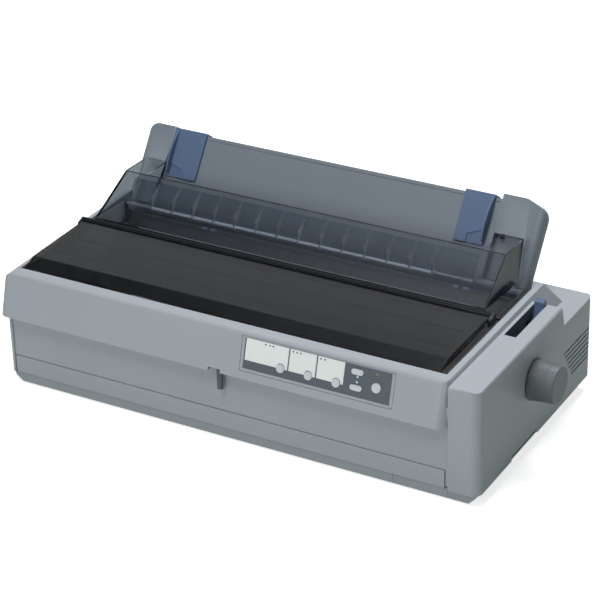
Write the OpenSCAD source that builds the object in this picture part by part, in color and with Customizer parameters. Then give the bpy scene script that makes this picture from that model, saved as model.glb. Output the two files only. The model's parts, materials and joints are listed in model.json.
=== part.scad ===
// Wide-carriage dot matrix printer with a smoked printer cover, a clear
// tear-off cover, a raised sheet guide, a push tractor and a platen knob.
// All sizes are in millimetres. The front of the case sides is y = 0 and the
// middle of the case is x = 0 while the pieces are drawn; placed() then moves
// every piece so that the origin is under the middle of the whole printer.

/* [Case] */
// Width of the case without the knob
case_w = 600; // [570:5:640]
// Depth of the case sides
case_d = 300; // [296:2:330]
// Height of the rim round the cover opening
rim_h = 145.5; // [143.5:0.5:150]
// Height of the right-hand deck
deck_h = 141.5; // [138:0.5:143]
// Height of the rear deck
rear_h = 117; // [114:0.5:120]
// Thickness of the case walls
wall = 2.8; // [2.2:0.1:3.4]
// Radius of the upright case corners
corner_r = 12; // [8:0.5:14]
// Width of the right-hand tower
tower_w = 36; // [32:0.5:40]
// Height of the gap where the upper case ends
band_h = 16; // [14:0.5:18]
// Height of the rubber feet
foot_h = 2.5; // [2:0.1:4]

/* [Front] */
// How far the control band stands out at its lower edge
band_out = 12; // [9:0.5:15]
// Height of the lower edge of the control band
band_z = 95; // [90:0.5:98]
// Lean of the control band face in degrees
band_lean = 16.6; // [12:0.2:18]
// Height of the seam above the bottom front cover
seam_z = 40; // [36:0.5:46]
// Width of the control panel overlay
panel_w = 177.5; // [170:0.5:190]
// Height of the control panel overlay
panel_h = 34.8; // [33:0.2:37]
// Diameter of the three round select buttons
button_d = 9.6; // [8:0.1:10.5]
// Travel of the buttons
button_travel = 1.2; // [0.6:0.1:1.6]

/* [Covers] */
// Thickness of the smoked covers
cover_t = 2.4; // [1.8:0.1:3]
// Height of the top of the printer cover over the rim
cover_rise = 7.5; // [6:0.5:9]
// Radius of the bead along the tear-off cover
bead_r = 3.2; // [2.6:0.1:3.6]
// Depth of the slope of the tear-off cover
tear_run = 68; // [60:1:72]
// Rise of the slope of the tear-off cover
tear_rise = 39; // [34:1:44]
// Number of ribs under the tear-off cover
tear_ribs = 14; // [9:1:21]

/* [Sheet guide] */
// Lean of the raised sheet guide from upright in degrees
guide_lean = 35.6; // [30:0.2:40]
// Length of the sheet guide above its hinge
guide_len = 99; // [90:1:106]
// Thickness of the end blocks of the sheet guide
guide_t = 16; // [12:0.5:18]
// Radius of the round bottom edge
guide_roll_r = 7.5; // [6.5:0.1:8]
// Width of the left edge guide
left_guide_w = 44; // [36:1:48]
// Width of the right edge guide
right_guide_w = 37; // [32:1:44]

/* [Platen and knob] */
// Radius of the rubber roller
platen_r = 18; // [16:0.5:18.5]
// Radius of the platen shaft
platen_shaft_r = 5; // [4:0.5:6]
// Height of the platen axis
platen_z = 90; // [87:0.5:92]
// Radius of the knob
knob_r = 23; // [20:0.5:25]
// How far the knob stands out of the case
knob_out = 31; // [26:0.5:36]
// Number of flutes on the knob
knob_flutes = 84; // [48:2:96]

/* [Fits] */
// Radial clearance of shafts that turn
run_fit = 0.05; // [0.03:0.01:0.09]
// Gap between pieces that move past each other
gap = 0.5; // [0.35:0.05:0.8]

/* [Hidden] */
$fn = 48;
eps = 1;

// --- places shared by several pieces ---
left = -case_w / 2;
right = case_w / 2;
tower_x = right - tower_w;
open_l = left + 16;
open_r = tower_x - 10;
open_y = 18;
mid = (open_l + open_r) / 2;
ear_t = 3.5;
ear_r = 3.1;
guide_ear_r = 6;
frame_t = 2;
frame_l = open_l + 16;
frame_r = open_r - 18;
floor_z = foot_h + 2.6;
chassis_z = 12;
chassis_t = 1.6;
deck_end = case_d - 89;
rim_end = case_d - 53;
rim_foot = rim_end + (rim_h - rear_h) * 0.72;
front_in = 1.5;
rear_in = case_d - 5.5;
flap_x0 = left + 11 + 0.6;
flap_x1 = tower_x - 3 - 0.6;
flap_bearing_x = [flap_x0 - gap - 4, flap_x1 + gap];
lip_gap = 0.4;
lip_rise = 8;

platen_y = 137.5;
hinge_y = 136;
hinge_z = rim_h + cover_rise - 3;
hinge_r = 3;
bead_y = hinge_y + hinge_r + bead_r + 0.8;
bead_z = rim_h + cover_rise - 0.5;
guide_y = case_d - 62;
guide_z = rear_h + 15;
guide_x0 = open_l + 7;
guide_x1 = open_r - 9;
pin_r = 1.6;
pin_len = gap + ear_t - 0.3;

// gear train, all on the left frame's outer side
gear_m = 1;
gear_w = 6;
gear_x = frame_l - frame_t - 7 - gear_w;
platen_teeth = 56;
pinion_teeth = 14;
tractor_teeth = 40;
// the two idlers fill the way from the platen gear to the tractor gear
tractor_rear = 38.5;
idler_teeth = min(38,
  floor((case_d - tractor_rear - platen_y) / gear_m / 2 - (platen_teeth + tractor_teeth) / 4));
pinion_dir = -60;
idler_y = platen_y + gear_m * (platen_teeth + idler_teeth) / 2;
rear_idler_y = idler_y + gear_m * idler_teeth;
tractor_y = rear_idler_y + gear_m * (idler_teeth + tractor_teeth) / 2;
motor_c = gear_m * (platen_teeth + pinion_teeth) / 2;
motor_y = platen_y + motor_c * cos(pinion_dir);
motor_z = platen_z + motor_c * sin(pinion_dir);

// carriage drive
shaft_y = 85;
shaft_z = 58;
shaft_r = 6;
rail_y = 46;
rail_z = 76;
pulley_y = 62;
pulley_r = 9;
belt_z = 54;
belt_w = 6;
belt_t = 1.2;
carriage_w = 60;
carriage_x = frame_l + 62;
drive_x = frame_r - 24;
tension_x = frame_l + 16;

// tractors
rod_y = tractor_y + 22;
rod_z = platen_z - 12;
rod_r = 4;
square_a = 8;
tractor_end_r = square_a / 2 - 0.5;
tractor_w = 20;
left_tractor_x = mid - 178;
right_tractor_x = mid + 158;

y_max = max(case_d, guide_y + (guide_len + 6) * sin(guide_lean) + (guide_t - guide_roll_r) * cos(guide_lean));
origin_x = (left + right + knob_out) / 2;
origin_y = (y_max - band_out) / 2;

body_grey = [0.59, 0.61, 0.64];
panel_slate = [0.29, 0.32, 0.36];
smoke = [0.24, 0.24, 0.25, 0.55];
clear_smoke = [0.3, 0.33, 0.38, 0.4];
guide_grey = [0.45, 0.48, 0.5];
edge_blue = [0.33, 0.43, 0.57];
knob_grey = [0.36, 0.38, 0.41];
black = [0.1, 0.1, 0.11];
steel = [0.7, 0.71, 0.73];
button_grey = [0.75, 0.77, 0.79];
board_green = [0.15, 0.35, 0.2];

// --- helpers ---
module placed() translate([-origin_x, -origin_y, 0]) children();
// An outline drawn in (y, z), pulled along x
module along_x(x, len) translate([x, 0, 0]) rotate([90, 0, 90]) linear_extrude(len) children();
// An outline drawn in (x, z), pulled along y
module along_y(y, len) translate([0, y + len, 0]) rotate([90, 0, 0]) linear_extrude(len) children();
// A box from two corners
module block(a, b) translate(a) cube(b - a);
// A round bar along x
module bar(x, len, y, z, r) translate([x, y, z]) rotate([0, 90, 0]) cylinder(h = len, r = r);

function arc(cx, cy, r, a0, a1, n = 8) =
  [for (i = [0:n]) [cx + r * cos(a0 + (a1 - a0) * i / n), cy + r * sin(a0 + (a1 - a0) * i / n)]];
// Rounded rectangle, corner radius r
function round_rect(x0, y0, x1, y1, r, n = 8) = concat(
  arc(x1 - r, y0 + r, r, -90, 0, n), arc(x1 - r, y1 - r, r, 0, 90, n),
  arc(x0 + r, y1 - r, r, 90, 180, n), arc(x0 + r, y0 + r, r, 180, 270, n));
// Outline of a gear with straight-sided teeth and one tooth centred on angle a0
function gear_points(teeth, m, a0) = [
  for (i = [0:teeth - 1]) for (c = [[-0.29, -1.2], [-0.11, 0.95], [0.11, 0.95], [0.29, -1.2]])
    let (a = a0 + (i + c[0]) * 360 / teeth, r = m * (teeth / 2 + c[1])) [r * cos(a), r * sin(a)]];
// Tooth angle of a gear that meshes with another in direction phi
function mesh_angle(phi, a0, teeth_a, teeth_b) =
  phi + 180 - (a0 - phi) * teeth_a / teeth_b + 180 / teeth_b;

// --- case ---
// Plan of the case, drawn in by d on every side
module plan(d) polygon(round_rect(left + d, d, right - d, case_d - d, corner_r - min(d, corner_r - 2), 10));

module lower_band_shape(d) intersection() {
  translate([0, 0, foot_h + d]) linear_extrude(band_h - foot_h) plan(2 + d);
  along_y(0, case_d) polygon([
    [left + 14 + d, foot_h], [right - 14 - d, foot_h],
    [right - 2 - d, band_h + d], [left + 2 + d, band_h + d]]);
  along_x(left, case_w) polygon([
    [6 + d, foot_h], [case_d - 11 - d, foot_h], [rear_in - 1 - d, band_h + d], [2 + d, band_h + d]]);
}

// Upright wall that the upper case slides over, drawn in by d
module lip_solid(d, z0, z1) intersection() {
  translate([0, 0, z0]) linear_extrude(z1 - z0) plan(wall + lip_gap + d);
  block([left, front_in + wall + lip_gap + d, z0], [right, rear_in - wall - lip_gap - d, z1]);
}

module foot_places() for (x = [left + 50, right - 50]) for (y = [40, case_d - 44])
  translate([x, y, 0]) children();

module boss_places() for (x = [frame_l + 20, frame_r - 20]) for (y = [104, case_d - 60])
  translate([x, y, 0]) children();

module lower_case() placed() color(body_grey) difference() {
  union() {
    difference() {
      lower_band_shape(0);
      translate([0, 0, floor_z - foot_h - wall]) lower_band_shape(wall);
    }
    // lip that the upper case slides over
    difference() {
      lip_solid(0, band_h - wall, band_h + lip_rise);
      lip_solid(wall, band_h - wall - eps, band_h + lip_rise + eps);
      // room behind the bottom front cover
      block([left + 5, -eps, band_h], [tower_x + 4, 3 * wall, band_h + 20]);
    }
    // bosses under the chassis
    boss_places() translate([0, 0, floor_z - eps]) cylinder(h = chassis_z - floor_z + eps, r = 7);
    // ribs across the floor
    for (x = [mid - 120, mid, mid + 120]) block([x, 30, floor_z - eps], [x + 2, case_d - 30, chassis_z - 4]);
  }
  boss_places() translate([0, 0, foot_h - eps]) cylinder(h = chassis_z, r = 1.6);
  boss_places() translate([0, 0, foot_h - eps]) cylinder(h = 2 + eps, r = 4);
  // joints of the moulded band across the front
  for (x = [left + 64.5, right - 102.5, right - 37.8]) along_x(x, 0.6)
    polygon([[-eps, band_h + eps], [2.9, band_h + eps], [6.9, foot_h - eps], [-eps, foot_h - eps]]);
  // air slots in the floor
  for (i = [0:9]) block([mid + 40 + 9 * i, 60, foot_h - eps], [mid + 44 + 9 * i, 100, floor_z + eps]);
}

module rubber_feet() placed() color(black) foot_places() cylinder(h = foot_h, r = 9);

module case_screws() placed() color(steel) boss_places() difference() {
  translate([0, 0, foot_h + 0.2]) union() {
    cylinder(h = 1.6, r = 3.6);
    cylinder(h = chassis_z + chassis_t + 0.6 - foot_h, r = 1.6);
  }
  block([-3, -0.4, foot_h - eps], [3, 0.4, foot_h + 1]);
  block([-0.4, -3, foot_h - eps], [0.4, 3, foot_h + 1]);
}

// Turns what stands on the control band's leaning face: x along the printer,
// y into the case, z up the face from its lower edge
module on_band() translate([0, -band_out, band_z]) rotate([-band_lean, 0, 0]) children();

band_face_h = (rim_h - band_z) / cos(band_lean);
rim_front = -band_out + (rim_h - band_z) * tan(band_lean);
top_r = 7;

// Solid of the control band, drawn in by d
module band_solid(d) intersection() {
  on_band() translate([0, 0, -20]) linear_extrude(band_face_h + 40)
    polygon(round_rect(left + d, d, tower_x - d, 60, corner_r - min(d, corner_r - 2), 10));
  along_x(left + d, tower_x - left - 2 * d) polygon(concat(
    [[-band_out - 10, band_z + d], [open_y - 2, band_z + d], [open_y - 2, rim_h - d]],
    arc(rim_front + top_r * 0.75, rim_h - top_r, top_r - d, 90, 180 - band_lean, 6)));
  rim_section(d);
}

// Section of the rim across the printer: rounded left shoulder, slanted right side
module rim_section(d) along_y(-band_out - 10, case_d + 20) polygon(concat(
  [[left + d, band_z - 30], [left + d, rim_h - 17]],
  arc(left + 17, rim_h - 17, 17 - d, 180, 90, 8),
  [[tower_x - 2.6 - d, rim_h - d], [tower_x - 2.6 - d + (rim_h - band_z + 30) * 0.5, band_z - 30]]));

module rim_solid(d) intersection() {
  rim_section(d);
  along_x(left, case_w) polygon([
    [open_y - 8 + d, band_z], [open_y - 8 + d, rim_h - d], [rim_end - d, rim_h - d],
    [rim_foot - d, rear_h - d], [rim_foot - d, band_z]]);
  linear_extrude(rim_h) plan(d);
}

module tower_solid(d) intersection() {
  linear_extrude(deck_h) plan(d);
  along_y(0, case_d) polygon(concat(
    [[tower_x + d, band_h - d], [right - d, band_h - d]],
    arc(right - 3, deck_h - 3, 3 - d, 0, 90, 3), [[tower_x + d, deck_h - d]]));
  along_x(tower_x, tower_w) polygon(concat(
    [[deck_end + 6 - d, band_h - d], [deck_end + 6 - d, rear_h - d], [deck_end - d, deck_h - d]],
    arc(3, deck_h - 3, 3 - d, 90, 180, 3), [[d, band_h - d]]));
}

module base_solid(d) intersection() {
  translate([0, 0, band_h]) linear_extrude(rear_h - band_h - d) plan(d);
  along_x(left, case_w) polygon(concat(
    [[d, 0], [rear_in - d, 0], [rear_in - d, band_h + 1], [case_d - d, band_h + 18]],
    arc(case_d - 3, rear_h - 3, 3 - d, 0, 90, 3), [[d, rear_h - d]]));
}

module case_cavity() intersection() {
  translate([0, 0, band_h - eps]) linear_extrude(rear_h - wall - band_h + eps) plan(wall);
  along_x(left, case_w) polygon([
    [front_in + wall, 0], [rear_in - wall, 0], [rear_in - wall, band_h + 1], [case_d - wall, band_h + 18],
    [case_d - wall, rear_h], [front_in + wall, rear_h]]);
}

louvre_n = 7;
louvre_pitch = 6;
louvre_z = 42;
module louvres(x) for (i = [0:louvre_n - 1])
  block([x, case_d - 59 - 3.6 * i, louvre_z + louvre_pitch * i],
        [x + 4 * wall, case_d - 5, louvre_z + louvre_pitch * i + 2.2]);

// Raised stretch of the lower edge that fingers reach under
module grip_notch(x) along_x(x, 4 * wall)
  polygon([[82, 0], [84, band_h + 5.5], [148, band_h + 5.5], [158, 0]]);

lever_slot_x = [tower_x + 4, tower_x + 18];
lever_slot_y = deck_end - 83;
port_x = mid + 70;
port_w = 62;
usb_x = port_x + 76;
port_z = 26;
inlet_x = frame_l + 28;
switch_x = inlet_x + 48;
bay_l = frame_l - 2;
bay_r = right - 85;
bay_z = platen_z + 8;

module upper_case() placed() color(body_grey) union() {
  difference() {
    union() {
      case_shell();
      // bearings of the bottom front cover
      for (x = flap_bearing_x)
        block([x, front_in + 0.4, band_h + 0.4], [x + 4, flap_pin_y + 3.2, flap_pin_z + 3.2]);
    }
    for (x = flap_bearing_x) bar(x - eps, 6, flap_pin_y, flap_pin_z, flap_pin_r + run_fit);
  }
  // pin of the rocker switch
  bar(switch_x - eps, 16, switch_y, switch_zc, 1.5);
}
module case_shell() difference() {
  union() {
    base_solid(0);
    band_solid(0);
    rim_solid(0);
    tower_solid(0);
  }
  // inside of the case
  case_cavity();
  band_solid(wall);
  difference() {
    rim_solid(wall);
    block([open_l - wall, 0, rear_h - wall], [open_r + wall, case_d, rim_h]);
  }
  tower_solid(wall);
  // recessed front between the band and the seam
  block([left + 10, -eps, band_h - eps], [tower_x, front_in, band_z]);
  // seam between the front and the tower
  block([tower_x - 0.8, -eps, band_h - eps], [tower_x, front_in + 1.1, band_z + eps]);
  // opening of the bottom front cover
  block([left + 11, -eps, band_h - eps], [tower_x - 3, 3 * wall, seam_z]);
  // opening under the covers, and the bay of the tractor behind it
  block([open_l, open_y, rear_h - 3 * wall], [open_r, case_d - 48, rim_h + eps]);
  block([open_l, open_y + 20, rear_h], [open_r, case_d + eps, rim_h + eps]);
  block([bay_l, case_d - 60, bay_z], [bay_r, case_d + eps, rim_h]);
  // slot of the paper release lever
  block([lever_slot_x[0], lever_slot_y, rear_h - 20], [lever_slot_x[1], deck_end + 10, deck_h + eps]);
  // hole for the platen shaft, and the ring that the knob sits in
  bar(right - 2 * wall, 3 * wall, platen_y, platen_z, platen_shaft_r + 3);
  bar(right - 0.8, 2, platen_y, platen_z, knob_r + 1);
  // louvres and grips on both sides
  louvres(right - 2 * wall);
  louvres(left - 2 * wall);
  grip_notch(right - 2 * wall);
  grip_notch(left - 2 * wall);
  // slot of the front lever in the lower edge of the band
  block([front_lever_x - 8, -band_out - eps, band_z - eps], [front_lever_x + 7.5, 0, band_z + 4]);
  // recess of the control panel
  on_band() block([panel_x0 - 4, -eps, panel_s0 - 3.5],
    [panel_x0 + panel_w + 4, 1.6, panel_s0 + panel_h + 1.5]);
  on_band() block([panel_x0 + 1, -eps, panel_s0 + 1],
    [panel_x0 + panel_w - 1, 4 * wall, panel_s0 + panel_h - 1]);
  // openings in the rear wall
  block([port_x, case_d - 2 * wall, port_z], [port_x + port_w, case_d + eps, port_z + 14]);
  block([usb_x, case_d - 2 * wall, port_z], [usb_x + 13, case_d + eps, port_z + 12]);
  block([inlet_x, case_d - 2 * wall, port_z], [inlet_x + 28, case_d + eps, port_z + 20]);
  block([switch_x, case_d - 2 * wall, port_z], [switch_x + 14, case_d + eps, port_z + 20]);
  for (i = [0:15]) block([mid - 120 + 9 * i, case_d - 2 * wall, 34], [mid - 116 + 9 * i, case_d + eps, 70]);
}

// --- bottom front cover ---
flap_t = 4.4;
flap_pin_r = 1.2;
flap_pin_y = flap_t / 2;
flap_pin_z = band_h + 0.6 + flap_t / 2;
module bottom_front_cover() placed() color(body_grey) union() {
  // plate whose round lower edge turns about its pins
  along_x(flap_x0, flap_x1 - flap_x0) polygon(concat(
    arc(flap_pin_y, flap_pin_z, flap_t / 2, 180, 360, 8),
    [[flap_t, flap_pin_z + 4], [2.4, flap_pin_z + 6], [2.4, seam_z - 0.8], [0, seam_z - 0.8]]));
  for (x = [flap_x0 + 20 : 60 : flap_x1 - 20])
    block([x, 2.4 - eps, flap_pin_z + 4], [x + 2, 5.4, seam_z - 4]);
  bar(flap_x0 - gap - 3, flap_x1 - flap_x0 + 2 * gap + 6, flap_pin_y, flap_pin_z, flap_pin_r);
}

// --- control panel ---
panel_x0 = tower_x - 242;
panel_s0 = 12.5;
module control_panel_bezel() placed() color(body_grey) on_band() difference() {
  translate([0, 1.5, 0]) rotate([90, 0, 0]) linear_extrude(1.5)
    polygon(round_rect(panel_x0 - 3.6, panel_s0 - 3.1, panel_x0 + panel_w + 3.6, panel_s0 + panel_h + 1.1,
      2.5, 4));
  block([panel_x0, -eps, panel_s0], [panel_x0 + panel_w, 1.5 + eps, panel_s0 + panel_h]);
}

// Places of the buttons on the overlay: x from its left edge, s up the face
window_w = 32.2;
window_gap = 1.6;
windows_r = panel_x0 + panel_w - 56;
window_x = [
  [panel_x0 + 1.5, windows_r - 2 * (window_w + window_gap)],
  [windows_r - 2 * window_w - window_gap, windows_r - window_w - window_gap],
  [windows_r - window_w, windows_r]];
window_s = [panel_s0 + 9.6, panel_s0 + panel_h - 0.5];
select_x = [for (w = window_x) w[1] - 8];
select_s = panel_s0 + 10.2;
oval_x = panel_x0 + panel_w - 40.2;
oval_s = [panel_s0 + 10.4, panel_s0 + 27.7];
oval_w = 14.5;
oval_h = 6.4;
pause_x = panel_x0 + panel_w - 16.5;
pause_s = panel_s0 + 15.8;
pause_d = 11;

module button_hole(x, s, d) translate([x, 3, s]) rotate([90, 0, 0]) cylinder(h = 6, r = d / 2 + 0.3);
module oval_prism(x, s, w, h, y0, len) translate([x, y0 + len, s]) rotate([90, 0, 0])
  linear_extrude(len) polygon(round_rect(-w / 2, -h / 2, w / 2, h / 2, h / 2 - 0.01, 6));

module control_panel_overlay() placed() color(panel_slate) on_band() difference() {
  block([panel_x0 + 0.1, 0.3, panel_s0 + 0.1], [panel_x0 + panel_w - 0.1, 1.5, panel_s0 + panel_h - 0.1]);
  for (x = select_x) button_hole(x, select_s, button_d);
  for (s = oval_s) oval_prism(oval_x, s, oval_w + 0.6, oval_h + 0.6, -eps, 5);
  button_hole(pause_x, pause_s, pause_d);
  for (p = lamp_places) translate([p[0], 3, p[1]]) rotate([90, 0, 0]) cylinder(h = 6, r = 1.2);
}

module label_windows() placed() color([0.92, 0.94, 0.92]) on_band() difference() {
  for (w = window_x) block([w[0], 0.1, window_s[0]], [w[1], 0.3, window_s[1]]);
  for (x = select_x) button_hole(x, select_s, button_d);
}

lamp_places = [[oval_x + 0.3, oval_s[0] + 5.8], [oval_x + 0.3, oval_s[0] + 11.6],
  [pause_x - 1, pause_s + 14.2]];
module indicator_lamps() placed() color([0.55, 0.75, 0.85]) on_band()
  for (p = lamp_places) translate([p[0], 2.5, p[1]]) rotate([90, 0, 0]) cylinder(h = 2.4, r = 1.1);

// Round button: cap, skirt flange behind the overlay and stem
module round_button(x, s, d) on_band() translate([x, 0, s]) rotate([-90, 0, 0]) union() {
  translate([0, 0, -button_travel - 0.6]) cylinder(h = button_travel + 2.6, r = d / 2);
  translate([0, 0, 1.9]) cylinder(h = 1.2, r = d / 2 + 1);
  cylinder(h = 6, r = 1.5);
}
module oval_button(x, s) on_band() union() {
  oval_prism(x, s, oval_w, oval_h, -button_travel - 0.6, button_travel + 2.6);
  oval_prism(x, s, oval_w + 2, oval_h + 2, 1.9, 1.2);
  oval_prism(x, s, 3, 3, 3, 3);
}
module font_button() placed() color(button_grey) round_button(select_x[0], select_s, button_d);
module pitch_button() placed() color(button_grey) round_button(select_x[1], select_s, button_d);
module tear_off_button() placed() color(button_grey) round_button(select_x[2], select_s, button_d);
module load_button() placed() color(button_grey) oval_button(oval_x, oval_s[1]);
module feed_button() placed() color(button_grey) oval_button(oval_x, oval_s[0]);
module pause_button() placed() color(button_grey) round_button(pause_x, pause_s, pause_d);

// --- small front lever ---
front_lever_x = tower_x - 276.5;
module front_lever() placed() color(panel_slate) union() {
  block([front_lever_x + 0.5, -band_out + 4.4, band_z - 24],
        [front_lever_x + 6.5, -band_out + 8.6, band_z + wall + 1]);
  block([front_lever_x - 9, -band_out + 4.4, band_z + wall + 0.3],
    [front_lever_x + 9, -1, band_z + wall + 2]);
}

// --- printer cover and its seal ---
cover_x0 = open_l + ear_t + gap;
cover_x1 = open_r - 8;
cover_top = rim_h + cover_rise;
fold_y = 37.5;
cover_front = open_y + 1.2;
module cover_profile() polygon(concat(
  [[cover_front, rim_h + 0.6], [fold_y, cover_top]],
  arc(hinge_y, hinge_z, hinge_r, 90, -90, 8),
  [[hinge_y - 3, hinge_z - hinge_r], [hinge_y - 5, cover_top - cover_t],
   [fold_y + 1, cover_top - cover_t], [cover_front + cover_t, rim_h + 0.4]]));
module cover_skirt_profile() polygon([
  [cover_front + 0.6, rim_h + 0.6], [fold_y, cover_top - 0.5], [hinge_y - 6, cover_top - 0.5],
  [hinge_y - 8, rim_h + 1], [fold_y, rim_h - 2]]);
module printer_cover() placed() color(smoke) union() {
  along_x(cover_x0, cover_x1 - cover_x0) cover_profile();
  along_x(cover_x0 + 0.01, cover_t) cover_skirt_profile();
  along_x(cover_x1 - cover_t - 0.01, cover_t) cover_skirt_profile();
  // stiffening ribs under the plate
  for (y = [60, 98])
    block([cover_x0 + 12, y, cover_top - cover_t - 2.2], [cover_x1 - 12, y + 1.6, cover_top - cover_t / 2]);
  bar(cover_x0 - pin_len, pin_len + 3, hinge_y, hinge_z, pin_r);
  bar(cover_x1 - 3, pin_len + 3, hinge_y, hinge_z, pin_r);
}

strip_pitch = 3;
strip_rear = guide_y - guide_ear_r - gap;
// Ribbed strip between the cover and the rim, from y0 to y1
module ribbed_strip(x0, x1, y0, y1) union() {
  block([x0, y0, rim_h - 3], [x1, y1, rim_h + 0.3]);
  block([x1 - 1, y0, rim_h - 1], [x1, y1, rim_h + 1.6]);
  for (y = [y0 + strip_pitch : strip_pitch : y1 - strip_pitch])
    block([x0 + 1.6, y, rim_h - 1], [x1 - 1 + 0.2, y + strip_pitch / 2, rim_h + 1.2]);
}
module seal_strips() placed() color(black) {
  ribbed_strip(cover_x1 + gap + 0.4, open_r, open_y + 2, hinge_y - 8);
  ribbed_strip(cover_x1 + gap + 0.4, open_r, bead_y + 8, strip_rear);
  block([open_l, open_y + 2, rim_h - 3], [cover_x0 - gap, hinge_y - 8, rim_h + 0.4]);
}

// Upright plate that holds the pins of both covers
module cover_ear(x, w) difference() {
  union() {
    for (p = [[hinge_y, hinge_z], [bead_y, bead_z]]) bar(x, w, p[0], p[1], ear_r);
    along_x(x, w) polygon([
      [hinge_y, hinge_z + ear_r - 0.2], [bead_y, bead_z + ear_r - 0.2], [bead_y + ear_r - 0.2, bead_z],
      [bead_y + 6, rim_h - 14], [hinge_y - 6, rim_h - 14], [hinge_y - ear_r + 0.2, hinge_z]]);
  }
  bar(x - eps, w + 2 * eps, hinge_y, hinge_z, pin_r + run_fit);
  bar(x - eps, w + 2 * eps, bead_y, bead_z, pin_r + run_fit);
}
module guide_ear(x, w) difference() {
  union() {
    bar(x, w, guide_y, guide_z, guide_ear_r);
    block([x, guide_y - guide_ear_r + 0.3, rear_h - 2], [x + w, guide_y + guide_ear_r - 0.3, guide_z]);
  }
  bar(x - eps, w + 2 * eps, guide_y, guide_z, 2 * pin_r + run_fit);
}
right_ear_x = cover_x1 + gap;
guide_ear_x = guide_x1 + gap;
module hinge_ears() placed() color(black) {
  cover_ear(open_l, ear_t);
  union() {
    cover_ear(right_ear_x, ear_t);
    block([right_ear_x + ear_t - eps, hinge_y - 5.5, rim_h - 14], [open_r, bead_y + 5.5, rim_h - 1]);
  }
  guide_ear(open_l, ear_t);
  guide_ear(guide_ear_x, open_r - guide_ear_x);
}

// --- tear-off cover ---
bead_x0 = cover_x0;
bead_x1 = cover_x1;
tear_x0 = open_l + 14;
tear_x1 = open_r - 16;
tear_taper = 6;
tear_top_y = bead_y + tear_run;
tear_top_z = bead_z + tear_rise;
tear_lean = atan(tear_rise / tear_run);
tear_back_y = guide_y + 18;
flange_w = 28;
lead_x0 = tear_x0 + 22;
lead_x1 = tear_x1 - 35;
lead_t = 1.6;
lead_s = 42;
lead_drop = 13;
lead_y = bead_y + lead_s * cos(tear_lean) + lead_drop * sin(tear_lean);
lead_z = bead_z + lead_s * sin(tear_lean) - lead_drop * cos(tear_lean);
rib_w = 1.4;

// Side view of the tear-off cover, with its front face drawn in by d
module tear_side(d) polygon([
  [bead_y + d * sin(tear_lean) + 4 * cos(tear_lean), bead_z - d * cos(tear_lean) + 4 * sin(tear_lean)],
  [tear_top_y + d * sin(tear_lean), tear_top_z - d * cos(tear_lean)],
  [tear_back_y, tear_top_z - 1.5 - d], [tear_back_y - 26, bead_z - 3.5]]);
module tear_front(d) along_y(bead_y - 10, tear_back_y - bead_y + 27) polygon([
  [tear_x0 + d, bead_z - 8], [tear_x1 - d, bead_z - 8],
  [tear_x1 - d - tear_taper, tear_top_z + 1], [tear_x0 + d + tear_taper, tear_top_z + 1]]);
module tear_off_cover() placed() color(clear_smoke) union() {
  bar(bead_x0, bead_x1 - bead_x0, bead_y, bead_z, bead_r);
  bar(bead_x0 - pin_len, pin_len + 3, bead_y, bead_z, pin_r);
  bar(bead_x1 - 3, pin_len + 3, bead_y, bead_z, pin_r);
  // neck between the bead and the plate
  along_x(tear_x0 + 1, tear_x1 - tear_x0 - 2) polygon([
    [bead_y, bead_z + 1], [bead_y + 6 * cos(tear_lean), bead_z + 6 * sin(tear_lean) - 0.3],
    [bead_y + 7, bead_z + 1], [bead_y, bead_z - 1.6]]);
  // front plate and end walls
  intersection() {
    tear_front(0);
    difference() {
      along_x(tear_x0, tear_x1 - tear_x0) tear_side(0);
      difference() {
        intersection() {
          tear_front(cover_t);
          along_x(tear_x0, tear_x1 - tear_x0) polygon([
            [bead_y + cover_t * sin(tear_lean), bead_z - cover_t * cos(tear_lean)],
            [tear_top_y + cover_t * sin(tear_lean), tear_top_z - cover_t * cos(tear_lean)],
            [tear_top_y + cover_t * sin(tear_lean), tear_top_z + 5], [tear_back_y + 5, tear_top_z + 5],
            [tear_back_y + 5, bead_z - 8], [bead_y, bead_z - 8]]);
        }
        // flanges left at both ends of the top
        for (x = [tear_x0, tear_x1 - flange_w - tear_taper])
          along_x(x, flange_w + tear_taper) polygon([
            [tear_top_y, tear_top_z - 2.2], [tear_back_y + 1, tear_top_z - 3.7],
            [tear_back_y + 1, tear_top_z + 6], [tear_top_y, tear_top_z + 6]]);
      }
    }
  }
  // sheet that leads the paper up to the top edge, with a rounded lip
  along_x(lead_x0, lead_x1 - lead_x0) polygon([
    [tear_top_y - 1, tear_top_z - 1.5], [tear_top_y + 1, tear_top_z - 1.8],
    [lead_y + lead_t, lead_z], [lead_y - 0.2, lead_z]]);
  bar(lead_x0, lead_x1 - lead_x0, lead_y + 0.4, lead_z, 1.7);
  // ribs between the front plate and that sheet
  for (i = [0:tear_ribs - 1])
    along_x(lead_x0 + 34 + i * (lead_x1 - lead_x0 - 84) / (tear_ribs - 1), rib_w) polygon([
      [bead_y + (lead_s + 8) * cos(tear_lean), bead_z + (lead_s + 8) * sin(tear_lean) - 1],
      [tear_top_y - 1, tear_top_z - 1.5], [tear_top_y + 0.5, tear_top_z - 2.2],
      [lead_y + 3.4, lead_z + 1], [lead_y + 1, lead_z - 3.2], [lead_y - 2.4, lead_z - 1]]);
  // finger stud on the right flange
  translate([tear_x1 - tear_taper - flange_w + 6, tear_back_y - 8, tear_top_z - 3]) cylinder(h = 5.5, r = 3);
}

// --- sheet guide: y into the guide, z up it from its hinge ---
left_block_w = 36;
right_block_w = 55.5;
guide_mid_x0 = guide_x0 + left_block_w;
guide_mid_x1 = guide_x1 - right_block_w;
sheet_t = 3;
lip_d = 10;
lip_h = 4;
module on_guide() translate([0, guide_y, guide_z]) rotate([-guide_lean, 0, 0])
  translate([0, -guide_roll_r, 0]) children();
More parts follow.
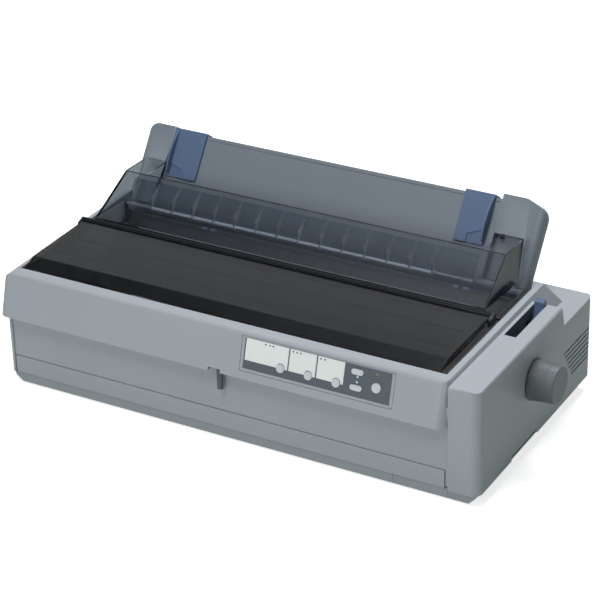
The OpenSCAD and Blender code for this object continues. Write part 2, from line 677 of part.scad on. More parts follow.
// Plate of the guide seen from its front, pushed back by depth
module guide_plate(points, depth) translate([0, depth, 0]) rotate([90, 0, 0]) linear_extrude(depth)
  polygon(points);
// Block between x0 and x1 with front edges rounded by r0 and r1, drawn in by d
module block_body(points, x0, x1, r0, r1, d) translate([0, d, 0]) intersection() {
  guide_plate(points, guide_t);
  linear_extrude(guide_len + 12) polygon(concat(
    [[x0 + d, guide_t]], arc(x0 + r0, r0 - d, r0 - d, 180, 270, 5),
    arc(x1 - r1, r1 - d, r1 - d, 270, 360, 6), [[x1 - d, guide_t]]));
}
wedge_w = 6;
arm_w = [14, 18];
arm_s = 59.5;
function left_block_points(d) = concat(
  [[guide_x0 + d, 5 + d], [guide_mid_x0 - wedge_w - d, 5 + d], [guide_mid_x0 - d, guide_len + 4 - d]],
  arc(guide_x0 + 12, guide_len - 8, 12 - d, 90, 180, 8));
// The right block is cut away below arm_s, which leaves an arm at its outer side
function right_block_points(d) = concat(
  [[guide_mid_x1 + d, arm_s + d], [guide_x1 - arm_w[1] + d, arm_s + d],
   [guide_x1 - arm_w[0] + d, 5 + d], [guide_x1 - d, 5 + d]],
  arc(guide_x1 - 16, guide_len - 14, 16 - d, 0, 60, 6),
  arc(guide_x1 - 26, guide_len - 2, 8 - d, 60, 90, 2),
  [[guide_mid_x1 + d, guide_len + 6 - d]]);
module left_block(d) block_body(left_block_points(d), guide_x0, guide_mid_x0, 3, 2.5, d);
module right_block(d) block_body(right_block_points(d), guide_mid_x1, guide_x1, 2.5, 7, d);
module sheet_guide() placed() color(guide_grey) difference() {
  union() {
    on_guide() difference() {
      left_block(0);
      left_block(cover_t);
    }
    on_guide() difference() {
      right_block(0);
      right_block(cover_t);
    }
    on_guide() block([guide_mid_x0 - eps, 0.6, 4], [guide_mid_x1 + eps, 0.6 + sheet_t, guide_len]);
    // channel between the left block and the plate
    on_guide() block([guide_mid_x0 - wedge_w - 2, guide_t - 4, 5],
      [guide_mid_x0 + 2, guide_t - 2, guide_len - 16]);
    on_guide() block([guide_mid_x0, 0.6, 5], [guide_mid_x0 + 2, guide_t - 2, guide_len - 16]);
    // wall behind the cut-away corner of the right block
    on_guide() block([guide_mid_x1 - eps, guide_t - cover_t, 5],
      [guide_x1 - arm_w[1] + cover_t, guide_t, arm_s + cover_t]);
    on_guide() block([guide_mid_x1 - eps, 0.6, 5], [guide_mid_x1 + 1.4, guide_t, arm_s + cover_t]);
    // rail along the top that the edge guides slide on
    on_guide() block([guide_mid_x0 - eps, 0.6, guide_len - lip_h],
      [guide_mid_x1 + eps, lip_d, guide_len - 0.2]);
    // ribs behind the plate
    for (i = [1:11]) on_guide() block([guide_mid_x0 + i * (guide_mid_x1 - guide_mid_x0) / 12, sheet_t, 8],
      [guide_mid_x0 + i * (guide_mid_x1 - guide_mid_x0) / 12 + 1.6, sheet_t + 3.6, guide_len - 12]);
    bar(guide_x0, guide_x1 - guide_x0, guide_y, guide_z, guide_roll_r);
    bar(open_l + 0.3, guide_x0 - open_l + 2.7, guide_y, guide_z, 2 * pin_r);
    bar(guide_x1 - 3, open_r - guide_x1 + 2.7, guide_y, guide_z, 2 * pin_r);
  }
  // groove under the top lip, and the joint beside the right block
  on_guide() block([guide_mid_x0, -eps, guide_len - 5.4], [guide_mid_x1, 1.5, guide_len - 4]);
  on_guide() block([guide_mid_x1 - 0.5, -eps, 20], [guide_mid_x1 + 0.5, 1.6, guide_len + 8]);
}

edge_s0 = guide_len - 57;
edge_t = 1.5;
notch_w = 22;
fence_w = 2.4;
fence_bow_r = 63.6;
fence_bow_s = guide_len - 31;
fence_d = 12;
// Edge guide of width w that hooks over the rail, drawn from its outer side,
// with its fence at fence_x
module edge_guide(w, fence_x) union() {
  translate([0, -edge_t, 0]) guide_plate([
    [0, edge_s0], [w, edge_s0], [w, guide_len + 0.4], [0, guide_len + 0.4]], edge_t + 0.3);
  // raised face, whose lower outer corner is cut away
  translate([0, -2 * edge_t, 0]) guide_plate([
    [notch_w, edge_s0], [w, edge_s0], [w, guide_len + 2.6], [0, guide_len + 2.6],
    [0, edge_s0 + 19], [notch_w, edge_s0 + 10]], edge_t + 0.1);
  // hook over the rail
  block([0, -2 * edge_t, guide_len + 0.2], [w, lip_d + 3, guide_len + 2.6]);
  block([0, lip_d + 0.4, guide_len - 14], [w, lip_d + 3, guide_len + 1]);
  // bowed fence that the paper's edge runs along
  along_x(fence_x, fence_w) polygon(concat(
    arc(fence_bow_r - fence_d, fence_bow_s, fence_bow_r, 200, 148.2, 10),
    [[0, guide_len + 2.6], [0, edge_s0 + 4.2]]));
}
module left_edge_guide() placed() color(edge_blue) on_guide()
  translate([guide_mid_x0 + 0.4, 0, 0]) edge_guide(left_guide_w, 4.6);
module right_edge_guide() placed() color(edge_blue) on_guide()
  translate([guide_mid_x1 - 7, 0, 0]) mirror([1, 0, 0]) edge_guide(right_guide_w, 0);

// --- paper release lever ---
release_y = deck_end - 36;
release_z = 75;
release_x = lever_slot_x[0] + 3.5;
release_lean = 29;
release_len = 80;
stud_r = 3;
module paper_release_lever() placed() color(edge_blue)
  translate([release_x, release_y, release_z]) rotate([-release_lean, 0, 0]) difference() {
    union() {
      rotate([0, 90, 0]) cylinder(h = 7, r = 7);
      along_x(0, 5) polygon([[-5, 0], [5, 0], [4, release_len - 20], [-4, release_len - 20]]);
      // broad finger end, bowed towards the rear
      along_x(-2, 11) polygon(concat(
        [[-5, release_len - 34]], arc(-38, release_len - 24, 44, -12, 28, 8), [[-6, release_len + 1]],
        arc(-44, release_len - 24, 40, 30, -14, 6)));
    }
    translate([-2, 0, 0]) rotate([0, 90, 0]) cylinder(h = 12, r = stud_r + run_fit);
  }

// --- frame ---
// Post that carries the belt's idler pulley
module tension_post() difference() {
  translate([tension_x, pulley_y, chassis_z + chassis_t - eps]) cylinder(h = 34 + eps, r = 8);
  translate([tension_x, pulley_y, 20]) cylinder(h = 40, r = motor_shaft_r + run_fit);
}
module base_chassis() placed() color(steel) difference() {
  union() {
    block([frame_l - frame_t, 30, chassis_z], [frame_r + frame_t, case_d - 14, chassis_z + chassis_t]);
    block([frame_l - frame_t, 30, chassis_z], [frame_r + frame_t, 30 + chassis_t, chassis_z + 12]);
    tension_post();
  }
  boss_places() translate([0, 0, chassis_z - eps]) cylinder(h = 4, r = 1.6);
  for (x = [frame_l + 60 : 90 : frame_r - 80]) translate([x, 0, chassis_z - eps]) linear_extrude(4)
    polygon(round_rect(0, 110, 50, 132, 6, 4));
}

frame_top = rear_h - wall - 1.5;
notch_z = 105.5;
module frame_outline() polygon(concat(
  [[34, chassis_z + chassis_t], [case_d - 16, chassis_z + chassis_t]],
  [[case_d - 6, rod_z - 20], [case_d - 6, rod_z + 10], [rod_y - 4, platen_z + 13],
    [tractor_y - 24, platen_z + 13]],
  arc(200, frame_top - 8, 8, 50, 90, 3), arc(42, frame_top - 8, 8, 90, 180, 4)));
module side_frame(x, foot) difference() {
  union() {
    along_x(x, frame_t) frame_outline();
    block([min(x, x + foot), 90, chassis_z + chassis_t],
          [max(x, x + foot) + frame_t, 150, chassis_z + chassis_t + frame_t]);
  }
  bar(x - eps, 4, platen_y, platen_z, platen_shaft_r + 3);
  bar(x - eps, 4, shaft_y, shaft_z, shaft_r);
  bar(x - eps, 4, tractor_y, platen_z, tractor_end_r + 3);
  bar(x - eps, 4, rod_y, rod_z, rod_r);
  block([x - eps, 41, notch_z], [x + 4, 47, frame_top + eps]);
  // lightening windows
  along_x(x - eps, 4) polygon(round_rect(100, 24, 128, 44, 5, 4));
  along_x(x - eps, 4) polygon(round_rect(case_d - 116, 24, case_d - 64, 60, 8, 4));
}
module left_side_frame() placed() color(steel) difference() {
  union() {
    side_frame(frame_l - frame_t, 12);
    for (y = [idler_y, rear_idler_y]) bar(gear_x - 0.8, frame_l - gear_x - eps + 0.8, y, platen_z, stud_r);
    for (y = [idler_y, rear_idler_y]) bar(gear_x + gear_w + 0.6, 7 - 0.6, y, platen_z, stud_r + 2.5);
  }
  bar(frame_l - frame_t - eps, 4, motor_y, motor_z, 8);
}
module right_side_frame() placed() color(steel) union() {
  side_frame(frame_r, -12);
  bar(frame_r + eps, release_x + 8.5 - frame_r - eps, release_y, release_z, stud_r);
  bar(frame_r + eps, release_x - 0.4 - frame_r - eps, release_y, release_z, stud_r + 2);
}
// Flanged bush in the frame wall at x round a shaft of radius r
module bush(x, y, r) difference() {
  union() {
    bar(x, frame_t, y, platen_z, r + 3);
    bar(x < 0 ? x - 2 : x + frame_t, 2, y, platen_z, r + 5);
  }
  bar(x - 4, 10, y, platen_z, r + run_fit);
}
module shaft_bushings() placed() color(black) for (x = [frame_l - frame_t, frame_r]) {
  bush(x, platen_y, platen_shaft_r);
  bush(x, tractor_y, tractor_end_r);
}

// --- platen ---
platen_x0 = frame_l + 36;
platen_x1 = frame_r - 34;
module platen_roller() placed() color(black) difference() {
  bar(platen_x0, platen_x1 - platen_x0, platen_y, platen_z, platen_r);
  bar(platen_x0 - eps, platen_x1 - platen_x0 + 2 * eps, platen_y, platen_z, platen_shaft_r);
}
module platen_shaft() placed() color(steel)
  bar(gear_x - 1.5, right + 12 - gear_x + 1.5, platen_y, platen_z, platen_shaft_r);

// Spur gear whose shaft lies along x: tooth on angle a0, hub on the +x side
module spur_gear(teeth, w, bore, hub_r, hub_len, a0) difference() {
  union() {
    along_x(0, w) polygon(gear_points(teeth, gear_m, a0));
    bar(w - eps, hub_len + eps, 0, 0, hub_r);
  }
  bar(-eps, w + hub_len + 2 * eps, 0, 0, bore);
  // thin web between the rim and the hub
  if (teeth > 20) difference() {
    bar(-eps, 2 + eps, 0, 0, gear_m * teeth / 2 - 3.5);
    bar(-2 * eps, 2 + 3 * eps, 0, 0, hub_r + 1.5);
  }
}
front_idler_a0 = mesh_angle(0, 0, platen_teeth, idler_teeth);
rear_idler_a0 = mesh_angle(0, front_idler_a0, idler_teeth, idler_teeth);
tractor_a0 = mesh_angle(0, rear_idler_a0, idler_teeth, tractor_teeth);
pinion_a0 = mesh_angle(pinion_dir, 0, platen_teeth, pinion_teeth);
module platen_gear() placed() color(guide_grey) translate([gear_x, platen_y, platen_z])
  spur_gear(platen_teeth, gear_w, platen_shaft_r, 10, 2.5, 0);
module front_idler_gear() placed() color(guide_grey) translate([gear_x, idler_y, platen_z])
  spur_gear(idler_teeth, gear_w, stud_r + run_fit, 7, 0.2, front_idler_a0);
module rear_idler_gear() placed() color(guide_grey) translate([gear_x, rear_idler_y, platen_z])
  spur_gear(idler_teeth, gear_w, stud_r + run_fit, 7, 0.2, rear_idler_a0);

motor_shaft_r = 2.5;
module feed_motor() placed() color(black) difference() {
  union() {
    along_x(frame_l, 31) polygon(round_rect(motor_y - 21, motor_z - 21, motor_y + 21, motor_z + 21, 5, 4));
    bar(frame_l - frame_t, frame_t + eps, motor_y, motor_z, 7.6);
  }
  bar(frame_l - 6, 22, motor_y, motor_z, motor_shaft_r + run_fit);
}
module feed_pinion() placed() color(steel) union() {
  translate([gear_x - 1, motor_y, motor_z]) spur_gear(pinion_teeth, gear_w + 2, motor_shaft_r, 4.5, 3,
    pinion_a0);
  bar(gear_x - 1.5, frame_l + 10 - gear_x + 1.5, motor_y, motor_z, motor_shaft_r);
}

// --- knob ---
knob_x = right + 1;
knob_end = right + knob_out;
knob_grip = 0.7 * (knob_end - knob_x);
function flute_points(n, r, depth) = [
  for (i = [0:n - 1]) for (c = [[-0.3, 0], [0.3, 0], [0.42, -1], [0.58, -1]])
    let (a = (i + c[0]) * 360 / n, q = r + c[1] * depth) [q * cos(a), q * sin(a)]];
module knob_turn(d) translate([0, platen_y, platen_z]) rotate([0, 90, 0]) rotate_extrude() polygon(concat(
  [[0, knob_x], [knob_r - d, knob_x], [knob_r - 1.6 - d, knob_x + knob_grip]],
  arc(knob_r - 3.6 - d, knob_end - 2, 2, 0, 90, 5), [[0, knob_end]]));
module platen_knob() placed() color(knob_grey) difference() {
  union() {
    knob_turn(1);
    intersection() {
      knob_turn(0);
      along_x(knob_x, knob_grip) translate([platen_y, platen_z]) polygon(flute_points(knob_flutes,
        knob_r + 0.2, 3));
    }
    intersection() {
      knob_turn(0);
      bar(knob_x + knob_grip - 0.5, knob_end, platen_y, platen_z, knob_r);
    }
  }
  // shaft hole and hollow back
  bar(knob_x - eps, 12 + eps - 1, platen_y, platen_z, platen_shaft_r);
  difference() {
    bar(knob_x - eps, 22, platen_y, platen_z, knob_r - 4.5);
    bar(knob_x - 2 * eps, 24, platen_y, platen_z, platen_shaft_r + 3);
  }
}

// Front and rear edge of the paper chute
chute_y = [platen_y + 21.5, guide_y - 10];
chute_z = [platen_z + 6, guide_z - 6];
module rear_paper_guide() placed() color(black) union() {
  along_x(frame_l, frame_r - frame_l) polygon([
    [chute_y[1], chute_z[1]], [chute_y[0], chute_z[0]],
    [chute_y[0] + 0.6, chute_z[0] - 1.4], [chute_y[1] + 0.6, chute_z[1] - 1.4]]);
  for (i = [0:8]) along_x(platen_x0 + 20 + i * (platen_x1 - platen_x0 - 42) / 8, 1.6) polygon([
    [chute_y[1] - 2, chute_z[1] - 0.2], [chute_y[0] + 5, chute_z[0] + 2.8],
    [chute_y[0] + 5, chute_z[0] + 1], [chute_y[1] - 2, chute_z[1] - 2]]);
}

// --- carriage ---
module guide_shaft() placed() color(steel)
  bar(frame_l - frame_t - 3, frame_r - frame_l + 2 * frame_t + 6, shaft_y, shaft_z, shaft_r);
module front_rail() placed() color(steel) along_x(frame_l, frame_r - frame_l) polygon([
  [rail_y - 1, rail_z + 8], [rail_y - 1, rail_z - 8], [rail_y - 13, rail_z - 8],
  [rail_y - 13, rail_z - 6.4], [rail_y + 0.6 - 3.2, rail_z - 6.4], [rail_y + 0.6 - 3.2, rail_z + 8]]);
head_seat = shaft_z + 22;
module carriage() placed() color(black) difference() {
  union() {
    along_x(carriage_x, carriage_w) polygon([
      [rail_y + 2, rail_z - 4], [rail_y + 20, rail_z - 6], [shaft_y - 11, shaft_z + 6],
        [shaft_y - 11, shaft_z - 8],
      [shaft_y - 6, shaft_z - 11], [shaft_y + 8, shaft_z - 11], [shaft_y + 12, shaft_z - 4],
      [shaft_y + 12, shaft_z + 16], [shaft_y + 7, head_seat], [rail_y + 4, head_seat],
      [rail_y + 4, rail_z + 13], [rail_y - 5.5, rail_z + 13],
      [rail_y - 5.5, rail_z + 3], [rail_y - 3.2, rail_z + 3], [rail_y - 3.2, rail_z + 9],
        [rail_y, rail_z + 9],
      [rail_y, rail_z - 2]]);
    // clamp over the belt
    block([carriage_x + 20, belt_rear - 3, belt_z - 2], [carriage_x + 40, belt_rear + 6, belt_z + 20]);
  }
  bar(carriage_x - eps, carriage_w + 2 * eps, shaft_y, shaft_z, shaft_r + run_fit);
  block([carriage_x + 20 - eps, belt_rear - 3 - eps, belt_z - 3],
        [carriage_x + 40 + eps, belt_rear + belt_t + 0.5, belt_z + belt_w + 0.5]);
}
belt_rear = pulley_y + pulley_r;
head_z = platen_z;
head_x = carriage_x + carriage_w / 2;
nose_y = platen_y - platen_r - 3;
module print_head() placed() color(steel) union() {
  along_x(head_x - 16, 32) polygon([
    [62, head_z + 4], [62, head_seat], [shaft_y + 13, head_seat],
    [nose_y - 8, head_z - 4], [nose_y, head_z - 3.2], [nose_y, head_z + 3.2], [nose_y - 8, head_z + 4]]);
  for (i = [0:4]) block([head_x - 24, 66 + 5 * i, head_z - 8], [head_x + 24, 68 + 5 * i, head_z + 6.5]);
}

cart_x0 = frame_l + 10;
cart_x1 = frame_r - 10;
cart_z = 99;
ribbon_y = platen_y - platen_r - 2;
module ribbon_cartridge() placed() color(black) union() {
  translate([0, 0, cart_z]) linear_extrude(15) polygon(concat(
    arc(cart_x0 + 6, 32, 6, 180, 270, 4), arc(cart_x1 - 6, 32, 6, 270, 360, 4),
    [[cart_x1, ribbon_y - 4], [cart_x1 - 8, ribbon_y], [cart_x1 - 13, ribbon_y - 2], [cart_x1 - 20, 58],
     [cart_x0 + 20, 58], [cart_x0 + 13, ribbon_y - 2], [cart_x0 + 8, ribbon_y], [cart_x0, ribbon_y - 4]]));
  for (x = [cart_x0, cart_x1 - 11]) block([x, ribbon_y - 12, head_z - 9],
    [x + 11, ribbon_y - 4, cart_z + eps]);
  // ribbon
  block([cart_x0 + 5, ribbon_y - 0.6, head_z - 6.5], [cart_x1 - 5, ribbon_y - 0.2, head_z + 6.5]);
  for (x = [cart_x0 + 4, cart_x1 - 10]) block([x, ribbon_y - 5, head_z - 9],
    [x + 6, ribbon_y - 0.2, cart_z + eps]);
  // pegs that rest in the side frames
  block([frame_l - frame_t - 1, 41.5, notch_z], [cart_x0 + eps, 46.5, notch_z + 5]);
  block([cart_x1 - eps, 41.5, notch_z], [frame_r + frame_t + 1, 46.5, notch_z + 5]);
  // knob that winds the ribbon
  translate([cart_x0 + 30, 42, cart_z + 14]) linear_extrude(6) polygon(flute_points(16, 9, 1));
}

module carriage_motor() placed() color(black) difference() {
  translate([0, 0, chassis_z + chassis_t]) linear_extrude(32)
    polygon(round_rect(drive_x - 21, pulley_y - 21, drive_x + 21, pulley_y + 21, 5, 4));
  translate([drive_x, pulley_y, 20]) cylinder(h = 30, r = motor_shaft_r + run_fit);
}
module pulley(x, z0) translate([x, pulley_y, 0]) union() {
  translate([0, 0, belt_z - 1.6]) cylinder(h = 1.2, r = pulley_r + 2);
  translate([0, 0, belt_z + belt_w + 0.4]) cylinder(h = 1.2, r = pulley_r + 2);
  translate([0, 0, belt_z - 1]) linear_extrude(belt_w + 2) polygon(flute_points(22, pulley_r - 0.3, 0.8));
  translate([0, 0, z0]) cylinder(h = belt_z - z0, r = motor_shaft_r);
}
module drive_pulley() placed() color(steel) pulley(drive_x, 26);
module idler_pulley() placed() color(steel) pulley(tension_x, 26);
module belt_loop(r) union() {
  block([tension_x, pulley_y - r, belt_z], [drive_x, pulley_y + r, belt_z + belt_w]);
  for (x = [tension_x, drive_x]) translate([x, pulley_y, belt_z]) cylinder(h = belt_w, r = r);
}
module timing_belt() placed() color(black) difference() {
  belt_loop(pulley_r + belt_t);
  translate([0, 0, -eps]) belt_inside();
}
module belt_inside() union() {
  block([tension_x, pulley_y - pulley_r, belt_z], [drive_x, pulley_y + pulley_r, belt_z + belt_w + 2 * eps]);
  for (x = [tension_x, drive_x]) translate([x, pulley_y, belt_z]) cylinder(h = belt_w + 2 * eps,
    r = pulley_r);
}

// --- tractor ---
module square_bar(x, len, a) translate([x, tractor_y - a / 2, platen_z - a / 2]) cube([len, a, a]);
module tractor_shaft() placed() color(steel) union() {
  square_bar(frame_l + 2, frame_r - frame_l - 4, square_a);
  bar(gear_x - 1.5, frame_l - gear_x + 3, tractor_y, platen_z, tractor_end_r);
  bar(frame_r - 3, frame_t + 6, tractor_y, platen_z, tractor_end_r);
}
module tractor_gear() placed() color(guide_grey) translate([gear_x, tractor_y, platen_z])
  spur_gear(tractor_teeth, gear_w, tractor_end_r, 7, 2, tractor_a0);
module tractor_rod() placed() color(steel)
  bar(frame_l - frame_t - 3, frame_r - frame_l + 2 * frame_t + 6, rod_y, rod_z, rod_r);

plate_t = 3.6;
wheel_w = 8;
pins = 6;
lid_hinge_z = platen_z + 16.3;
wheel_r = 12.1;
wheel_hub_r = 9.4;
// Tractor body: side plates round the pin wheel, joined by a foot on the rod
module tractor(x, hinge_side) difference() {
  union() {
    for (px = [x, x + tractor_w - plate_t]) along_x(px, plate_t) polygon(concat(
      arc(tractor_y - 6, platen_z + 5, 9, 90, 200, 6), [[tractor_y - 10, platen_z - 12]],
      arc(rod_y, rod_z, 9, 250, 360, 6), arc(tractor_y + 14, platen_z + 5, 9, 0, 90, 5)));
    block([x, tractor_y - 4, platen_z - 20], [x + tractor_w, rod_y + 8, rod_z - 3.2]);
    along_x(x, tractor_w) polygon(arc(rod_y, rod_z, 7.5, 0, 330, 11));
    // lid hinge posts
    for (y = [tractor_y - 10, tractor_y + 14])
      block([x + (hinge_side < 0 ? 0 : tractor_w - plate_t), y, platen_z + 10],
            [x + (hinge_side < 0 ? plate_t : tractor_w), y + 4, lid_hinge_z + 1.7]);
  }
  bar(x - eps, tractor_w + 2 * eps, rod_y, rod_z, rod_r + run_fit);
  bar(x - eps, tractor_w + 2 * eps, tractor_y, platen_z, wheel_hub_r + run_fit);
  translate([x + (hinge_side < 0 ? plate_t / 2 : tractor_w - plate_t / 2), tractor_y - 20, lid_hinge_z])
    rotate([-90, 0, 0]) cylinder(h = 50, r = 1 + run_fit);
}
module left_tractor() placed() color(body_grey) tractor(left_tractor_x, -1);
module right_tractor() placed() color(body_grey) tractor(right_tractor_x, 1);

module sprocket(x) difference() {
  union() {
    bar(x + plate_t + 2.4, wheel_w, tractor_y, platen_z, wheel_r - 0.6);
    bar(x + 0.6, tractor_w - 1.2, tractor_y, platen_z, wheel_hub_r);
    for (i = [0:pins - 1]) translate([x + tractor_w / 2, tractor_y, platen_z]) rotate([60 * i + 30, 0, 0])
      union() {
      cylinder(h = wheel_r + 1, r = 1.6);
      translate([0, 0, wheel_r + 1]) cylinder(h = 1.2, r1 = 1.6, r2 = 0.9);
    }
  }
  square_bar(x - eps, tractor_w + 2 * eps, square_a + 0.3);
}
module left_sprocket() placed() color(edge_blue) sprocket(left_tractor_x);
module right_sprocket() placed() color(edge_blue) sprocket(right_tractor_x);

// Lid over the pins, hinged on side s of the tractor at x
module tractor_lid(x, s) union() {
  hx = x + (s < 0 ? plate_t / 2 : tractor_w - plate_t / 2);
  lx = min(hx, hx - s * (tractor_w - plate_t / 2));
  difference() {
    union() {
      block([lx, tractor_y - 14, lid_hinge_z - 0.9],
            [lx + tractor_w - plate_t / 2, tractor_y + 22, lid_hinge_z + 1.6]);
      translate([hx, tractor_y - 5.6, lid_hinge_z]) rotate([-90, 0, 0]) cylinder(h = 19.2, r = 1.9);
    }
    // gaps for the hinge posts, slot for the pins
    for (y = [tractor_y - 10, tractor_y + 14])
      block([hx - plate_t / 2 - 1, y - 0.4, lid_hinge_z - 3],
        [hx + plate_t / 2 + 1, y + 4.4, lid_hinge_z + 3]);
    block([x + tractor_w / 2 - 2.4, tractor_y - 10, lid_hinge_z - 3],
          [x + tractor_w / 2 + 2.4, tractor_y + 12, lid_hinge_z + 3]);
  }
  translate([hx, tractor_y - 11, lid_hinge_z]) rotate([-90, 0, 0]) cylinder(h = 30, r = 1);
}
module left_tractor_lid() placed() color(edge_blue) tractor_lid(left_tractor_x, -1);
module right_tractor_lid() placed() color(edge_blue) tractor_lid(right_tractor_x, 1);

// --- electrics ---
board_z = port_z + 0.3 - 1.6;
board_x = [mid - 20, mid + 200];
board_y = [case_d - 130, case_d - 14];
hole_in = 8;
module main_board() placed() color(board_green) union() {
  difference() {
    block([board_x[0], board_y[0], board_z], [board_x[1], board_y[1], board_z + 1.6]);
    translate([board_x[0] + hole_in, board_y[0] + hole_in, board_z - eps]) cylinder(h = 4, r = 1.6);
  }
  for (x = [board_x[0] + 14, board_x[1] - hole_in]) for (y = [board_y[0] + hole_in, board_y[1] - hole_in])
    translate([x, y, chassis_z + chassis_t]) cylinder(h = board_z - chassis_z - chassis_t + 0.5, r = 3);
  // square chips: place from the board's corner and side
  for (p = [[40, 20, 28], [100, 30, 20], [150, 20, 24], [180, 55, 14]])
    translate([board_x[0] + p[0], board_y[0] + p[1], board_z + 1]) cube([p[2], p[2], 3.6]);
}
module interface_ports() placed() color(steel) {
  // parallel port with its two wire clips
  difference() {
    block([port_x + 0.3, case_d - 26, port_z + 0.3], [port_x + port_w - 0.3, case_d - 1, port_z + 13.7]);
    along_y(case_d - 9, 20) polygon([
      [port_x + 8, port_z + 11], [port_x + 10, port_z + 3], [port_x + port_w - 10, port_z + 3],
      [port_x + port_w - 8, port_z + 11]]);
  }
  block([port_x + 13, case_d - 14, port_z + 6], [port_x + port_w - 13, case_d - 2.5, port_z + 8.4]);
  difference() {
    block([usb_x + 0.3, case_d - 22, port_z + 0.3], [usb_x + 12.7, case_d - 1, port_z + 11.7]);
    block([usb_x + 2, case_d - 9, port_z + 2], [usb_x + 11, case_d + 5, port_z + 10]);
  }
  block([usb_x + 4, case_d - 12, port_z + 4], [usb_x + 9, case_d - 2.5, port_z + 7.5]);
}
supply_x = [frame_l + 8, frame_l + 130];
supply_y = [case_d - 115, case_d - 20];
supply_z = 20;
module power_supply() placed() color(board_green) union() {
  block([supply_x[0], supply_y[0], supply_z], [supply_x[1], supply_y[1], supply_z + 1.6]);
  for (x = [supply_x[0] + 6, supply_x[1] - 6]) for (y = [supply_y[0] + 6, supply_y[1] - 6])
    translate([x, y, chassis_z + chassis_t]) cylinder(h = supply_z - chassis_z - chassis_t + 0.5, r = 3);
  // transformer, capacitors and the cooling plate of the transistors
  block([supply_x[0] + 52, supply_y[0] + 15, supply_z + 1],
    [supply_x[0] + 88, supply_y[0] + 47, supply_z + 32]);
  for (y = [17, 35]) translate([supply_x[0] + 32, supply_y[0] + y, supply_z + 1]) cylinder(h = 30, r = 8);
  block([supply_x[1] - 24, supply_y[0] + 5, supply_z + 1],
    [supply_x[1] - 21, supply_y[1] - 18, supply_z + 26]);
}
module mains_inlet() placed() color(black) difference() {
  union() {
    block([inlet_x + 0.3, case_d - 18, port_z + 0.3], [inlet_x + 27.7, case_d - 1, port_z + 19.7]);
    block([inlet_x - 1.5, case_d - 8, port_z + 4], [inlet_x + 29.5, case_d - 6, port_z + 16]);
  }
  along_y(case_d - 15, 20) polygon([
    [inlet_x + 3, port_z + 2.5], [inlet_x + 25, port_z + 2.5], [inlet_x + 25, port_z + 12],
    [inlet_x + 20, port_z + 17.5], [inlet_x + 8, port_z + 17.5], [inlet_x + 3, port_z + 12]]);
}
switch_zc = port_z + 10;
switch_y = case_d - 6;
module power_switch() placed() color(black) difference() {
  along_x(switch_x + 1, 12) polygon([
    [switch_y - 4, switch_zc - 8], [switch_y + 3.5, switch_zc - 8], [switch_y + 3.4, switch_zc],
    [switch_y + 6.2, switch_zc + 8], [switch_y - 4, switch_zc + 8]]);
  bar(switch_x, 14, switch_y, switch_zc, 1.5 + run_fit);
}

lower_case();
upper_case();
rubber_feet();
case_screws();
bottom_front_cover();
control_panel_bezel();
control_panel_overlay();
label_windows();
indicator_lamps();
font_button();
pitch_button();
tear_off_button();
load_button();
feed_button();
pause_button();
front_lever();
printer_cover();
seal_strips();
hinge_ears();
tear_off_cover();
sheet_guide();
left_edge_guide();
right_edge_guide();
paper_release_lever();
base_chassis();
left_side_frame();
right_side_frame();
shaft_bushings();
platen_roller();
platen_shaft();
platen_gear();
platen_knob();
feed_motor();
feed_pinion();
front_idler_gear();
rear_idler_gear();
rear_paper_guide();
guide_shaft();
front_rail();
carriage();
print_head();
ribbon_cartridge();
carriage_motor();
drive_pulley();
idler_pulley();
timing_belt();
tractor_shaft();
tractor_gear();
tractor_rod();
left_tractor();
right_tractor();
left_sprocket();
right_sprocket();
left_tractor_lid();
right_tractor_lid();
main_board();
interface_ports();
power_supply();
mains_inlet();
power_switch();
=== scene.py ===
import json
import math

import bmesh
import bpy
from mathutils import Matrix, Vector

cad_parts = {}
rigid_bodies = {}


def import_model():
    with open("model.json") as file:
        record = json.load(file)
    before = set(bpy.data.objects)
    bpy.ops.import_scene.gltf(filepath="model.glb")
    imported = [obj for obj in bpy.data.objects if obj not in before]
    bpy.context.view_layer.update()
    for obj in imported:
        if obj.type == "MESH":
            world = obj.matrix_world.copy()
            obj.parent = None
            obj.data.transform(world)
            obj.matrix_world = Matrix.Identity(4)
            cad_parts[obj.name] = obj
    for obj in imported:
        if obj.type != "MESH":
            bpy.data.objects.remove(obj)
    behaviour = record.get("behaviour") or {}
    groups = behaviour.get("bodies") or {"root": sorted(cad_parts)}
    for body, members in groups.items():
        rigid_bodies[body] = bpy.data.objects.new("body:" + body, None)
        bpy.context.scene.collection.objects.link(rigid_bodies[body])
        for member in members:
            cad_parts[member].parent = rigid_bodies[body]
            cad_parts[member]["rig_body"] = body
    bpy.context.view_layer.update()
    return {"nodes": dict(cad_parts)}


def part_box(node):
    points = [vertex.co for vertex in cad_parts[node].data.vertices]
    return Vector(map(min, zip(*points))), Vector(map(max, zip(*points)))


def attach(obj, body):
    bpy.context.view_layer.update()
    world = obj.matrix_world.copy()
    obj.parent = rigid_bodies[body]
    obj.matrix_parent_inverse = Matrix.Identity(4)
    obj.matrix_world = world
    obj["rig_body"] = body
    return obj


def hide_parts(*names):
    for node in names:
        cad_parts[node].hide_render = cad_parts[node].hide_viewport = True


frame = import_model()

